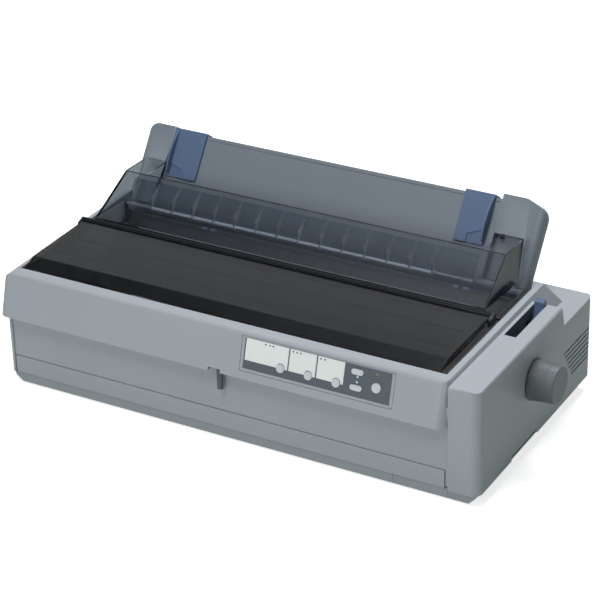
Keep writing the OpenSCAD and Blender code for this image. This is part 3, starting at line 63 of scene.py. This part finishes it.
# The view: a long lens a little above the printer and to the right of its
# front, turned slightly, as a product is shown on a white table.
view_distance = 2.6314
view_azimuth = math.radians(30.0)
view_elevation = math.radians(28.1)
view_roll = math.radians(-1.6)
view_target = Vector((-0.0108, 0.0030, 0.1100))
away = Vector((math.sin(view_azimuth) * math.cos(view_elevation),
               -math.cos(view_azimuth) * math.cos(view_elevation),
               math.sin(view_elevation)))
level = Vector((math.cos(view_azimuth), math.sin(view_azimuth), 0.0))
upright = away.cross(level)
turned_right = level * math.cos(view_roll) + upright * math.sin(view_roll)
turned_up = upright * math.cos(view_roll) - level * math.sin(view_roll)
camera = bpy.data.objects.new("camera", bpy.data.cameras.new("camera"))
camera.data.lens = 139.3
camera.data.sensor_width = 36.0
camera.data.clip_end = 20.0
camera.matrix_world = Matrix.Translation(view_target + away * view_distance) @ Matrix(
    (turned_right, turned_up, away)).transposed().to_4x4()
scene = bpy.context.scene
scene.collection.objects.link(camera)
scene.camera = camera


# The light: three soft lamps, the strongest over the rear, so that the top is
# the palest face and the right side lies in shade. Polished faces mirror a room
# with pale walls, a dim ceiling and one paler panel overhead at the right.
def wired(tree, node, **inputs):
    """A node whose inputs, with _ for a space, take other nodes' outputs or plain values."""
    for name, value in inputs.items():
        socket = node.inputs[name.replace("_", " ")]
        if isinstance(value, bpy.types.NodeSocket):
            tree.links.new(value, socket)
        else:
            socket.default_value = value
    return node


def new_node(tree, kind, **inputs):
    """A new shader node of this kind with its inputs wired."""
    return wired(tree, tree.nodes.new("ShaderNode" + kind), **inputs)


def sums(tree, operation, one, other=None):
    """The result of one sum on outputs or numbers."""
    node = tree.nodes.new("ShaderNodeMath")
    node.operation = operation
    for socket, value in zip(node.inputs, (one, other)):
        if isinstance(value, bpy.types.NodeSocket):
            tree.links.new(value, socket)
        elif value is not None:
            socket.default_value = value
    return node.outputs[0]


def blended(tree, factor, one, other):
    """The first colour or output where the factor is 0, the other where it is 1."""
    mix = tree.nodes.new("ShaderNodeMix")
    mix.data_type = "RGBA"
    tree.links.new(factor, mix.inputs["Factor"])
    for name, colour in (("A", one), ("B", other)):
        if isinstance(colour, bpy.types.NodeSocket):
            tree.links.new(colour, mix.inputs[name])
        else:
            mix.inputs[name].default_value = tuple(colour) + (1.0,)
    return mix.outputs["Result"]


def soft_rise(tree, value, start, end):
    """0 before the start, 1 past the end and a smooth rise between them."""
    ramp = new_node(tree, "MapRange", Value=value, From_Min=start, From_Max=end)
    ramp.interpolation_type = "SMOOTHSTEP"
    return ramp.outputs["Result"]


scene.view_settings.view_transform = "Standard"
scene.world = bpy.data.worlds.new("pale_room")
scene.world.use_nodes = True
room = scene.world.node_tree
wall_tone, ceiling_tone, panel_tone = (0.42, 0.435, 0.455), (0.09, 0.10, 0.115), (0.50, 0.53, 0.60)
fill_tone = (0.045, 0.056, 0.048)
# the parts of a direction's length at which each soft edge starts and ends
ceiling_edge, panel_side_edge, panel_lower_edge = (0.42, 0.88), (-0.52, -0.36), (0.76, 0.86)
towards = new_node(room, "SeparateXYZ", Vector=new_node(room, "TexCoord").outputs["Generated"]).outputs
ray = new_node(room, "LightPath").outputs
walls_and_ceiling = blended(room, soft_rise(room, towards["Z"], *ceiling_edge), wall_tone, ceiling_tone)
on_panel = sums(room, "MULTIPLY", soft_rise(room, towards["X"], *panel_side_edge),
                soft_rise(room, towards["Z"], *panel_lower_edge))
mirrored = blended(room, on_panel, walls_and_ceiling, panel_tone)
unseen = blended(room, ray["Is Glossy Ray"], fill_tone, mirrored)
# white behind the printer and through its clear covers, but not for light that
# has already been scattered inside, because that would brighten the works
scattered = sums(room, "ADD", ray["Diffuse Depth"], ray["Glossy Depth"])
seen_through = sums(room, "MULTIPLY", ray["Is Transmission Ray"], sums(room, "LESS_THAN", scattered, 0.5))
seen = sums(room, "MAXIMUM", ray["Is Camera Ray"], seen_through)
wired(room, room.nodes["Background"], Color=blended(room, seen, unseen, (1.0, 1.0, 1.0)))
lamp_side, lamp_white = 1.0, (0.965, 0.985, 1.0)
lit_spot = Vector((0.0, 0.0, 0.1))
for lamp_name, lamp_place, watts in (("rear_lamp", Vector((0.0, 1.3, 2.35)), 43.0),
                                     ("high_lamp", Vector((0.0, -1.22, 2.4)), 23.0),
                                     ("front_lamp", Vector((-0.2, -2.43, 1.0)), 15.5)):
    lamp = bpy.data.objects.new(lamp_name, bpy.data.lights.new(lamp_name, "AREA"))
    lamp.data.shape = "SQUARE"
    lamp.data.size = lamp_side
    lamp.data.energy = watts
    lamp.data.color = lamp_white
    lamp.matrix_world = Matrix.Translation(lamp_place) @ (
        (lit_spot - lamp_place).to_track_quat("-Z", "Y").to_matrix().to_4x4())
    scene.collection.objects.link(lamp)

# The table: a pale plain sheet that takes the printer's shadow. Only the camera
# sees it glow, and more so further out, where less lamp light falls on it, so
# that it reads as an even white.
table_half = 6.0
table_mesh = bmesh.new()
bmesh.ops.create_grid(table_mesh, x_segments=1, y_segments=1, size=table_half)
table = bpy.data.objects.new("table", bpy.data.meshes.new("table"))
table_mesh.to_mesh(table.data)
table_mesh.free()
scene.collection.objects.link(table)
table_white = bpy.data.materials.new("table_white")
table_white.use_nodes = True
table_tree = table_white.node_tree
table_reach = new_node(table_tree, "VectorMath", Vector=new_node(table_tree, "TexCoord").outputs["Object"])
table_reach.operation = "LENGTH"
even_glow = new_node(table_tree, "MapRange", Value=table_reach.outputs["Value"], From_Min=1.0, From_Max=3.6,
                     To_Min=0.75, To_Max=1.0)
camera_glow = sums(table_tree, "MULTIPLY", new_node(table_tree, "LightPath").outputs["Is Camera Ray"],
                   even_glow.outputs["Result"])
wired(table_tree, table_tree.nodes["Principled BSDF"], Base_Color=(0.68, 0.71, 0.68, 1.0), Roughness=0.9,
      Emission_Color=(1.0, 1.0, 1.0, 1.0), Emission_Strength=camera_glow)
table.data.materials.append(table_white)


# The case: two fine-grained cool grey moulded shells. The upper one carries
# the control band, the rim round the covers and the tower on the right, and
# slides over the lip of the lower one, whose front has a hinged flap.
def moulded(name, colour, rough=0.5, grain=0.00004, grain_size=0.0007, tone=0.03, **sockets):
    """A moulded plastic: a fine even grain, and a faint cloudiness of its tone and gloss."""
    paint = bpy.data.materials.new(name)
    paint.use_nodes = True
    tree = paint.node_tree
    place = new_node(tree, "TexCoord").outputs["Object"]
    cloud = new_node(tree, "TexNoise", Vector=place, Scale=24.0, Detail=3.0).outputs["Fac"]
    darker, paler = [c * (1 - tone) for c in colour], [min(1.0, c * (1 + tone)) for c in colour]
    glossier, duller = rough - 0.06, rough + 0.06
    gloss = new_node(tree, "MapRange", Value=cloud, To_Min=glossier, To_Max=duller)
    speck = new_node(tree, "TexNoise", Vector=place, Scale=1.0 / grain_size, Detail=2.0)
    bump = new_node(tree, "Bump", Strength=0.35, Distance=grain, Height=speck.outputs["Fac"])
    wired(tree, tree.nodes["Principled BSDF"], Base_Color=blended(tree, cloud, darker, paler),
          Roughness=gloss.outputs["Result"], Normal=bump.outputs["Normal"], **sockets)
    return paint


def piece_of(name, shape, paint, body, slot, *nodes):
    """A finished mesh made a piece that rides on a body and stands for the CAD nodes named."""
    data = bpy.data.meshes.new(name)
    shape.to_mesh(data)
    shape.free()
    data.materials.append(paint)
    piece = bpy.data.objects.new(name, data)
    scene.collection.objects.link(piece)
    if nodes:
        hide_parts(*nodes)
    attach(piece, body)
    return piece


def rounded(shape, edges, width, segments):
    """Rounds the edges given of a shape."""
    bmesh.ops.bevel(shape, geom=edges, offset=width, offset_type="OFFSET", segments=segments,
                    profile=0.5, affect="EDGES", clamp_overlap=True, material=-1)


def softened(node, paint, slot, width=0.0006, segments=2, sharp_above=35):
    """A piece with a CAD node's own shape and its edges rounded, which then stands for that node."""
    shape = bmesh.new()
    shape.from_mesh(frame["nodes"][node].data)
    bmesh.ops.remove_doubles(shape, verts=shape.verts, dist=0.00001)
    bmesh.ops.dissolve_limit(shape, angle_limit=math.radians(0.5), verts=shape.verts, edges=shape.edges)
    edges = [e for e in shape.edges if len(e.link_faces) == 2
             and e.calc_face_angle() > math.radians(sharp_above) and e.calc_length() > width * 2]
    rounded(shape, edges, width, segments)
    piece = piece_of(node + "_moulding", shape, paint, frame["nodes"][node]["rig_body"], slot, node)
    piece.data.shade_smooth()
    piece.data.set_sharp_from_angle(angle=math.radians(50))
    flat_faces = piece.modifiers.new("flat_faces", "WEIGHTED_NORMAL")
    flat_faces.keep_sharp = True
    return piece


def painted(paint, slot, *nodes):
    """CAD nodes whose shape is right take their finish."""
    for node in nodes:
        shown = frame["nodes"][node]
        shown.data.materials.clear()
        shown.data.materials.append(paint)


case_grey = moulded("case_grey", (0.432, 0.462, 0.50), rough=0.46, tone=0.02)
softened("upper_case", case_grey, "case_grey", width=0.0009, segments=3)
softened("lower_case", case_grey, "case_grey", width=0.0005)
softened("bottom_front_cover", case_grey, "case_grey", width=0.0004)


# The rubber feet and the case screws: four black pads pushed into the floor of
# the lower case, and four plated screws that hold the shells together.
def rubber(name, colour, rough=0.75, grain_size=0.0006):
    """A matt rubber with a dusty unevenness and a fine pebbled skin."""
    return moulded(name, colour, rough, grain=0.00008, grain_size=grain_size, tone=0.12,
                   Specular_IOR_Level=0.35)


def plated(name, colour, rough=0.32, streak=(40.0, 900.0, 900.0)):
    """A plated or drawn metal: fine streaks along one axis and a dull bloom."""
    paint = bpy.data.materials.new(name)
    paint.use_nodes = True
    tree = paint.node_tree
    place = new_node(tree, "TexCoord").outputs["Object"]
    stretched = new_node(tree, "Mapping", Vector=place, Scale=streak).outputs["Vector"]
    lines = new_node(tree, "TexNoise", Vector=stretched, Scale=1.0, Detail=3.0).outputs["Fac"]
    bloom = new_node(tree, "TexNoise", Vector=place, Scale=30.0).outputs["Fac"]
    darker = [c * 0.86 for c in colour]
    glossier, duller = rough - 0.1, rough + 0.12
    gloss = new_node(tree, "MapRange", Value=lines, To_Min=glossier, To_Max=duller)
    bump = new_node(tree, "Bump", Strength=0.2, Distance=0.00002, Height=lines)
    wired(tree, tree.nodes["Principled BSDF"], Metallic=1.0, Base_Color=blended(tree, bloom, darker, colour),
          Roughness=gloss.outputs["Result"], Normal=bump.outputs["Normal"])
    return paint


foot_rubber = rubber("foot_rubber", (0.03, 0.03, 0.032))
softened("rubber_feet", foot_rubber, "rubber_black", width=0.0005)
bright_steel = plated("bright_steel", (0.66, 0.67, 0.69))
painted(bright_steel, "bright_steel", "case_screws")


# The control panel: a printed slate film inside a thin moulded frame. It has
# three pale windows, small lamps and dark dots, and its buttons stand through it.
panel_lean = math.radians(16.6)
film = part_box("control_panel_overlay")
film_gap = 0.0001
band_across = Vector((1.0, 0.0, 0.0))
band_up = Vector((0.0, math.sin(panel_lean), math.cos(panel_lean)))
band_out = Vector((0.0, -math.cos(panel_lean), math.sin(panel_lean)))
film_left = film[0].x - film_gap
film_edge = Vector((film_left, film[0].y, film[0].z)) - band_up * film_gap
film_frame = Matrix((band_across, band_up, band_out)).transposed().to_4x4()


def on_film(across, up):
    """Turns a shape to the film and moves it there: metres from the film's left and lower edges."""
    return Matrix.Translation(film_edge + band_across * across + band_up * up) @ film_frame


def key_cap(node, width, height, across, up):
    """A button cap: a stem behind the film, a rounded edge and a shallow dish in front."""
    rise, stem, edge_round = 0.0018, 0.003, 0.0005
    dish = ((0.0004, 0.0), (0.0006, -0.00022), (height * 0.17, -0.00012))
    off_middle = 1e-7
    shape = bmesh.new()
    bmesh.ops.create_circle(shape, cap_ends=True, segments=40, radius=height / 2)
    for side in (1, -1):
        half_round = [v for v in shape.verts if v.co.x * side > off_middle]
        bmesh.ops.translate(shape, vec=(side * (width - height) / 2, 0, 0), verts=half_round)
    if shape.faces[:][0].normal.z < 0:
        bmesh.ops.reverse_faces(shape, faces=shape.faces[:])
    made = bmesh.ops.extrude_face_region(shape, geom=shape.faces[:])["geom"]
    front = next(g for g in made if isinstance(g, bmesh.types.BMFace))
    bmesh.ops.translate(shape, vec=(0, 0, rise + stem), verts=list(front.verts))
    bmesh.ops.recalc_face_normals(shape, faces=shape.faces)
    rounded(shape, list(front.edges), edge_round, 4)
    front = max(shape.faces, key=lambda f: (round(f.calc_center_median().z, 6), f.calc_area()))
    for inset, drop in dish:
        bmesh.ops.inset_region(shape, faces=[front], thickness=inset, depth=drop, use_even_offset=True)
    bmesh.ops.translate(shape, vec=(0, 0, -stem), verts=shape.verts)
    bmesh.ops.transform(shape, matrix=on_film(across, up), verts=shape.verts)
    cap = piece_of(node + "_cap", shape, button_grey, frame["nodes"][node]["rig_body"], "button_grey", node)
    cap.data.shade_smooth()
    cap.data.set_sharp_from_angle(angle=math.radians(40))


# the grain's depth on a polished moulding
polished = 0.00001


def printed(name, colour, rough):
    """A printed plastic film: a flat ink with a faint screen texture under a satin varnish."""
    return moulded(name, colour, rough, polished, grain_size=0.0004, Coat_Weight=0.15, Coat_Roughness=0.3)


def lit(name, colour, glow):
    """A small moulded lamp lens that glows a little."""
    return moulded(name, colour, 0.18, polished, tone=0.05,
                   Emission_Color=colour + (1.0,), Emission_Strength=glow)


def parted(piece, choose, *paints):
    """More paints for a piece: choose takes a face's middle and normal and gives its paint's number."""
    for paint in paints:
        piece.data.materials.append(paint)
    for face in piece.data.polygons:
        face.material_index = choose(face.center, face.normal)


softened("control_panel_bezel", case_grey, "case_grey", width=0.0003)
film_slate = printed("film_slate", (0.10, 0.117, 0.142), rough=0.42)
painted(film_slate, "panel_slate", "control_panel_overlay")
window_white = printed("window_white", (0.95, 0.985, 0.965), rough=0.45)
painted(window_white, "label_white", "label_windows")
button_grey = moulded("button_grey", (0.72, 0.74, 0.765), 0.36, polished, tone=0.02)
select_size, select_up = 0.0096, 0.0102
for node, across in (("font_button", 0.046), ("pitch_button", 0.080), ("tear_off_button", 0.1135)):
    key_cap(node, select_size, select_size, across, select_up)
feed_width, feed_height, feed_across = 0.0145, 0.0064, 0.1373
for node, up in (("feed_button", 0.0104), ("load_button", 0.0277)):
    key_cap(node, feed_width, feed_height, feed_across, up)
pause_size = 0.011
key_cap("pause_button", pause_size, pause_size, 0.161, 0.0158)
dot_black = printed("dot_black", (0.02, 0.022, 0.025), rough=0.3)
dot_size, dot_rise, dots_up = 0.0019, 0.00035, 0.0320
dots = bmesh.new()
for across in (0.0251, 0.0304, 0.0345, 0.0590, 0.0636, 0.0682, 0.0926, 0.0975):
    disc = bmesh.ops.create_circle(dots, cap_ends=True, segments=16, radius=dot_size / 2,
                                   matrix=on_film(across, dots_up))["verts"][0].link_faces[0]
    made = bmesh.ops.extrude_face_region(dots, geom=[disc])["geom"]
    lifted = [g for g in made if isinstance(g, bmesh.types.BMVert)]
    bmesh.ops.translate(dots, vec=band_out * dot_rise, verts=lifted)
bmesh.ops.recalc_face_normals(dots, faces=dots.faces)
piece_of("window_dots", dots, dot_black, "root", "panel_slate")
lens_cyan = lit("lens_cyan", (0.42, 0.74, 0.83), glow=0.25)
lens_amber = lit("lens_amber", (0.38, 0.33, 0.07), glow=0.2)
amber_from = film_left + 0.150
painted(lens_cyan, "lamp_lens", "indicator_lamps")
parted(frame["nodes"]["indicator_lamps"], lambda middle, out: int(middle.x > amber_from), lens_amber)


# The small front lever: a slate slider that hangs below the control band and
# sets the paper path for sheets or fan-fold.
lever_slate = moulded("lever_slate", (0.1, 0.115, 0.14))
softened("front_lever", lever_slate, "panel_slate")


# The printer cover: one smoked plate with a folded front and short skirts,
# hinged on pins at its rear. The folded front ends in a darker lower edge.
def smoked(name, colour, rough, **sockets):
    """A clear plastic dyed in the mass, with a faint silk on it."""
    return moulded(name, colour, rough, grain=0.00002, grain_size=0.0009, tone=0.05,
                   Transmission_Weight=1.0, IOR=1.49, **sockets)


cover_smoke = smoked("cover_smoke", (0.19, 0.187, 0.18), rough=0.16)
cover = softened("printer_cover", cover_smoke, "smoked_cover", width=0.0008, segments=3, sharp_above=15)
smoke_edge = moulded("smoke_edge", (0.075, 0.08, 0.09), 0.3, polished)
cover_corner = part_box("printer_cover")[0]
edge_top, edge_back = cover_corner.z + 0.0011, cover_corner.y + 0.004


def cover_part(middle, out):
    """Plate 0, lower edge of the folded front 1."""
    return int(middle.z < edge_top and middle.y < edge_back and out.y < -0.2)


parted(cover, cover_part, smoke_edge)


# The seal strips and the hinge ears: black mouldings. The strips close the gaps
# between the covers and the rim, the right ones with fine ribs, and the ears
# are screwed inside the case and hold the pins of both covers and of the guide.
trim_black = moulded("trim_black", (0.013, 0.014, 0.016), rough=0.42)
softened("seal_strips", trim_black, "black_plastic", width=0.0002)
softened("hinge_ears", trim_black, "black_plastic", width=0.0004)


# The tear-off cover: a clear bluish-smoke plate with end walls, flanges and a
# black bead along its lower edge, on which it hinges. Behind the plate, ribs
# carry a sheet that leads the paper up to a rounded lip. The lip and the plate's
# cut right edge are painted pale as painted highlights, and the right end wall
# is dyed dark as painted shade of the hollow behind it.
tear_clear = smoked("tear_clear", (0.60, 0.64, 0.68), rough=0.07)
tear_off = softened("tear_off_cover", tear_clear, "clear_smoke", width=0.0004, sharp_above=15)
bead_black = moulded("bead_black", (0.010, 0.011, 0.013), 0.2, polished, Specular_IOR_Level=0.3)
# painted highlight: an opaque paler grey on the plate's cut right edge, where it faces the light
edge_painted_highlight = moulded("edge_painted_highlight", (0.34, 0.355, 0.385), 0.3, polished)
# painted highlight: the lip's faces that do not look down are painted pale, as if they caught the light
lip_painted_highlight = moulded("lip_painted_highlight", (0.80, 0.82, 0.87), 0.3, polished)
# painted shade: the right end wall gets a much darker smoke, as if the hollow behind it were in shade
wall_painted_shade = smoked("wall_painted_shade", (0.085, 0.095, 0.105), rough=0.12, Specular_IOR_Level=0.05)
tear_low, tear_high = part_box("tear_off_cover")
bead_back = tear_low.y + 0.00896
lip_y, lip_z, lip_reach = 0.0393, 0.1621, 0.0022
stud_x, stud_y, stud_reach = 0.1945, 0.1010, 0.0036
stud_foot = tear_high.z - 0.0075
right_end = tear_high.x - 0.03
# the wall's faces look straight aside; the cut edge's faces that get the painted highlight look right, up and
# forward at once
wall_aside, edge_aside, edge_up, edge_forward = 0.94, (0.15, 0.985), 0.2, -0.1


def tear_off_part(middle, out):
    """Clear plastic 0, bead and finger stud 1, the plate's cut right edge with a painted highlight 2, lip
    with a painted highlight 3, right end wall darkened as painted shade 4.
    """
    if middle.y < bead_back:
        return 1
    if math.hypot(middle.y - lip_y, middle.z - lip_z) < lip_reach and out.z > -0.2:
        return 3
    if math.hypot(middle.x - stud_x, middle.y - stud_y) < stud_reach and middle.z > stud_foot:
        return 1
    if middle.x > right_end and abs(out.x) > wall_aside:
        return 4
    on_edge = edge_aside[0] < out.x < edge_aside[1] and out.z > edge_up and out.y < edge_forward
    return 2 if middle.x > right_end and on_edge else 0


parted(tear_off, tear_off_part, bead_black, edge_painted_highlight, lip_painted_highlight, wall_painted_shade)


# The sheet guide: a mid grey moulding that stands up behind the covers, with a
# rounded foot that it turns on, a box at each end and a rail along the top.
guide_grey = moulded("guide_grey", (0.225, 0.255, 0.30), rough=0.45)
softened("sheet_guide", guide_grey, "guide_grey", width=0.0010, segments=3)


# The edge guides: two blue slides that hook over the rail of the sheet guide,
# each with an upright fence that the paper's edge runs against.
edge_blue = moulded("edge_blue", (0.115, 0.175, 0.30), rough=0.42, tone=0.04)
softened("left_edge_guide", edge_blue, "blue_plastic", width=0.0007, segments=3)
softened("right_edge_guide", edge_blue, "blue_plastic", width=0.0007, segments=3)


# The paper release lever: the same blue plastic, bowed for a finger, turning
# on a stud of the right side frame and coming up through a slot in the deck.
softened("paper_release_lever", edge_blue, "blue_plastic", segments=3)


# The frame: a zinc-plated steel chassis with two upright side frames screwed
# to it, the steel shafts, rods, pinion and pulleys that they carry, the black
# bushes that the shafts turn in and the black edges of the paper's chute.
zinc_plate = plated("zinc_plate", (0.58, 0.6, 0.6), rough=0.38, streak=(120.0, 120.0, 60.0))
painted(zinc_plate, "bright_steel", "base_chassis", "left_side_frame", "right_side_frame", "front_rail")
bush_black = moulded("bush_black", (0.03, 0.03, 0.032), rough=0.45)
painted(bush_black, "black_plastic", "shaft_bushings", "rear_paper_guide")
painted(bright_steel, "bright_steel", "platen_shaft", "guide_shaft", "tractor_shaft", "tractor_rod",
        "feed_pinion", "drive_pulley", "idler_pulley")


# The platen: a hard black rubber roller on its shaft, turned by white moulded
# gears at the left and by a grey knob at the right. The knob's grip has fine
# flutes, whose grooves are darkened with painted shade.
def overlaid(paint, there, colour):
    """Lays another colour over a paint where there is 1."""
    tree = paint.node_tree
    shader = tree.nodes["Principled BSDF"]
    ground = shader.inputs["Base Color"].links[0].from_socket
    wired(tree, shader, Base_Color=blended(tree, there, ground, colour))


roller_rubber = rubber("roller_rubber", (0.028, 0.028, 0.03), rough=0.55, grain_size=0.0004)
painted(roller_rubber, "rubber_black", "platen_roller")
gear_white = moulded("gear_white", (0.55, 0.55, 0.52), 0.4, polished)
painted(gear_white, "guide_grey", "platen_gear", "front_idler_gear", "rear_idler_gear", "tractor_gear")
knob_grey = moulded("knob_grey", (0.21, 0.23, 0.25))
knob = softened("platen_knob", knob_grey, "knob_grey", width=0.0002, segments=1)
knob.data.set_sharp_from_angle(angle=math.radians(20))
flute_count, flute_foot, groove_share = 84, 0.0205, 0.34
knob_tree = knob_grey.node_tree
knob_middle = (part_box("platen_knob")[0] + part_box("platen_knob")[1]) / 2
knob_centred = new_node(knob_tree, "Mapping", Vector=new_node(knob_tree, "TexCoord").outputs["Object"],
                        Location=-knob_middle)
from_axis = new_node(knob_tree, "SeparateXYZ", Vector=knob_centred.outputs["Vector"]).outputs
round_axis = sums(knob_tree, "ARCTAN2", from_axis["Z"], from_axis["Y"])
in_flute = sums(knob_tree, "FRACT", sums(knob_tree, "MULTIPLY", round_axis, flute_count / (2 * math.pi)))
off_centre = sums(knob_tree, "ABSOLUTE", sums(knob_tree, "SUBTRACT", in_flute, 0.5))
radius_squared = sums(knob_tree, "ADD", sums(knob_tree, "MULTIPLY", from_axis["Y"], from_axis["Y"]),
                      sums(knob_tree, "MULTIPLY", from_axis["Z"], from_axis["Z"]))
# painted shade: the flutes' grooves, out at the grip, are painted dark as if shade lay in them
groove_painted_shade = sums(knob_tree, "MULTIPLY", sums(knob_tree, "LESS_THAN", off_centre, groove_share / 2),
                 sums(knob_tree, "GREATER_THAN", radius_squared, flute_foot ** 2))
overlaid(knob_grey, groove_painted_shade, (0.03, 0.033, 0.036))


# The print carriage: a black moulding on the guide shaft with the finned
# print head and the ribbon cartridge on it, pulled by a toothed belt from a
# motor at one end. A second motor drives the paper feed.
motor_black = moulded("motor_black", (0.04, 0.04, 0.043))
painted(motor_black, "motor_black", "feed_motor", "carriage_motor")
painted(bush_black, "black_plastic", "carriage")
head_alloy = plated("head_alloy", (0.42, 0.43, 0.45), rough=0.5, streak=(300.0, 300.0, 300.0))
painted(head_alloy, "head_alloy", "print_head")
ribbon_black = moulded("ribbon_black", (0.03, 0.03, 0.033), rough=0.4)
painted(ribbon_black, "black_plastic", "ribbon_cartridge")
belt_rubber = rubber("belt_rubber", (0.025, 0.025, 0.027), rough=0.6)
painted(belt_rubber, "rubber_black", "timing_belt")


# The tractors: two moulded bodies that slide on a square shaft and a round
# rod, each with a pin wheel inside and a hinged lid over the pins.
tractor_grey = moulded("tractor_grey", (0.3, 0.32, 0.34), rough=0.45)
softened("left_tractor", tractor_grey, "case_grey", width=0.0004)
softened("right_tractor", tractor_grey, "case_grey", width=0.0004)
painted(edge_blue, "blue_plastic", "left_sprocket", "right_sprocket", "left_tractor_lid", "right_tractor_lid")


# The boards: a green main board behind the platen with black chips, and the
# supply board with its transformer, two capacitors and a cooling plate. Both
# stand on steel posts on the chassis.
def board(name, colour, track):
    """A lacquered circuit board: paler copper tracks in broken rows under the green mask."""
    paint = moulded(name, colour, rough=0.32, grain=0.00002, grain_size=0.002, tone=0.15)
    tree = paint.node_tree
    track_pitch, row_height = 0.0019, 0.25
    off, on = (0.0, 0.0, 0.0, 1.0), (1.0, 1.0, 1.0, 1.0)
    place = new_node(tree, "TexCoord").outputs["Object"]
    rows = new_node(tree, "TexBrick", Vector=place, Scale=row_height / track_pitch, Row_Height=row_height,
                    Brick_Width=2.3, Mortar_Size=0.03, Mortar=on, Color1=off, Color2=off)
    areas = new_node(tree, "TexNoise", Vector=place, Scale=95.0)
    traced = sums(tree, "GREATER_THAN", areas.outputs["Fac"], 0.47)
    overlaid(paint, sums(tree, "MULTIPLY", rows.outputs["Color"], traced), track)
    return paint


board_green = board("board_green", (0.025, 0.11, 0.05), (0.09, 0.27, 0.10))
painted(board_green, "circuit_board", "main_board", "power_supply")
chip_black = moulded("chip_black", (0.025, 0.025, 0.027), rough=0.45, grain=0.00002)
core_steel = plated("core_steel", (0.30, 0.29, 0.28), rough=0.5, streak=(60.0, 60.0, 1600.0))
sleeve_blue = moulded("sleeve_blue", (0.02, 0.03, 0.075), 0.3, polished)
# from the top of a board: just over it, and just below its underside
over_board, under_board = 0.0003, -0.0018
chip_height, transformer_height = 0.0030, 0.0303
main_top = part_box("main_board")[1].z - chip_height
supply_low, supply_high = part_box("power_supply")
supply_top = supply_high.z - transformer_height
capacitors_end, transformer_end = supply_low.x + 0.045, supply_low.x + 0.092


def main_part(middle, out):
    """Board 0, chips 1, posts 2."""
    if middle.z > main_top + over_board:
        return 1
    return 2 if middle.z < main_top + under_board else 0


def supply_part(middle, out):
    """Board 0, posts and cooling plate 1, transformer 2, capacitors 3."""
    if middle.z < supply_top + under_board:
        return 1
    if middle.z < supply_top + over_board:
        return 0
    if middle.x < capacitors_end:
        return 3
    return 2 if middle.x < transformer_end else 1


parted(frame["nodes"]["main_board"], main_part, chip_black, bright_steel)
parted(frame["nodes"]["power_supply"], supply_part, bright_steel, core_steel, sleeve_blue)


# The sockets in the rear wall: two plated ports, each with a black tongue in
# it, and the black mains inlet and rocker switch. The inlet's blades are three
# plated flat pins moulded into its floor.
painted(zinc_plate, "bright_steel", "interface_ports")
port_low, port_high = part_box("interface_ports")
tongue_root, tongue_tip = port_low.y + 0.0115, port_high.y - 0.0013
tongue_under, tongue_over = port_low.z + 0.0035, port_low.z + 0.0085


def port_part(middle, out):
    """Shell 0, tongue 1."""
    return int(tongue_root < middle.y < tongue_tip and tongue_under < middle.z < tongue_over)


parted(frame["nodes"]["interface_ports"], port_part, chip_black)
painted(bush_black, "black_plastic", "mains_inlet", "power_switch")
inlet_low, inlet_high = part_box("mains_inlet")
inlet_middle = (inlet_low.x + inlet_high.x) / 2
blade_size, blade_depth, tip_depth, tip_round = (0.002, 0.0135, 0.0044), 0.0105, 0.0045, 0.0007
blades = bmesh.new()
for across, up in ((-0.007, 0.0068), (0.007, 0.0068), (0.0, 0.0116)):
    blade = bmesh.ops.create_cube(blades, size=1.0)["verts"]
    bmesh.ops.scale(blades, vec=blade_size, verts=blade)
    blade_place = (inlet_middle + across, inlet_high.y - blade_depth, inlet_low.z + up)
    bmesh.ops.translate(blades, vec=blade_place, verts=blade)
tips = [e for e in blades.edges if min(v.co.y for v in e.verts) > inlet_high.y - tip_depth]
rounded(blades, tips, tip_round, 3)
piece_of("inlet_blades", blades, bright_steel, "root", "bright_steel")
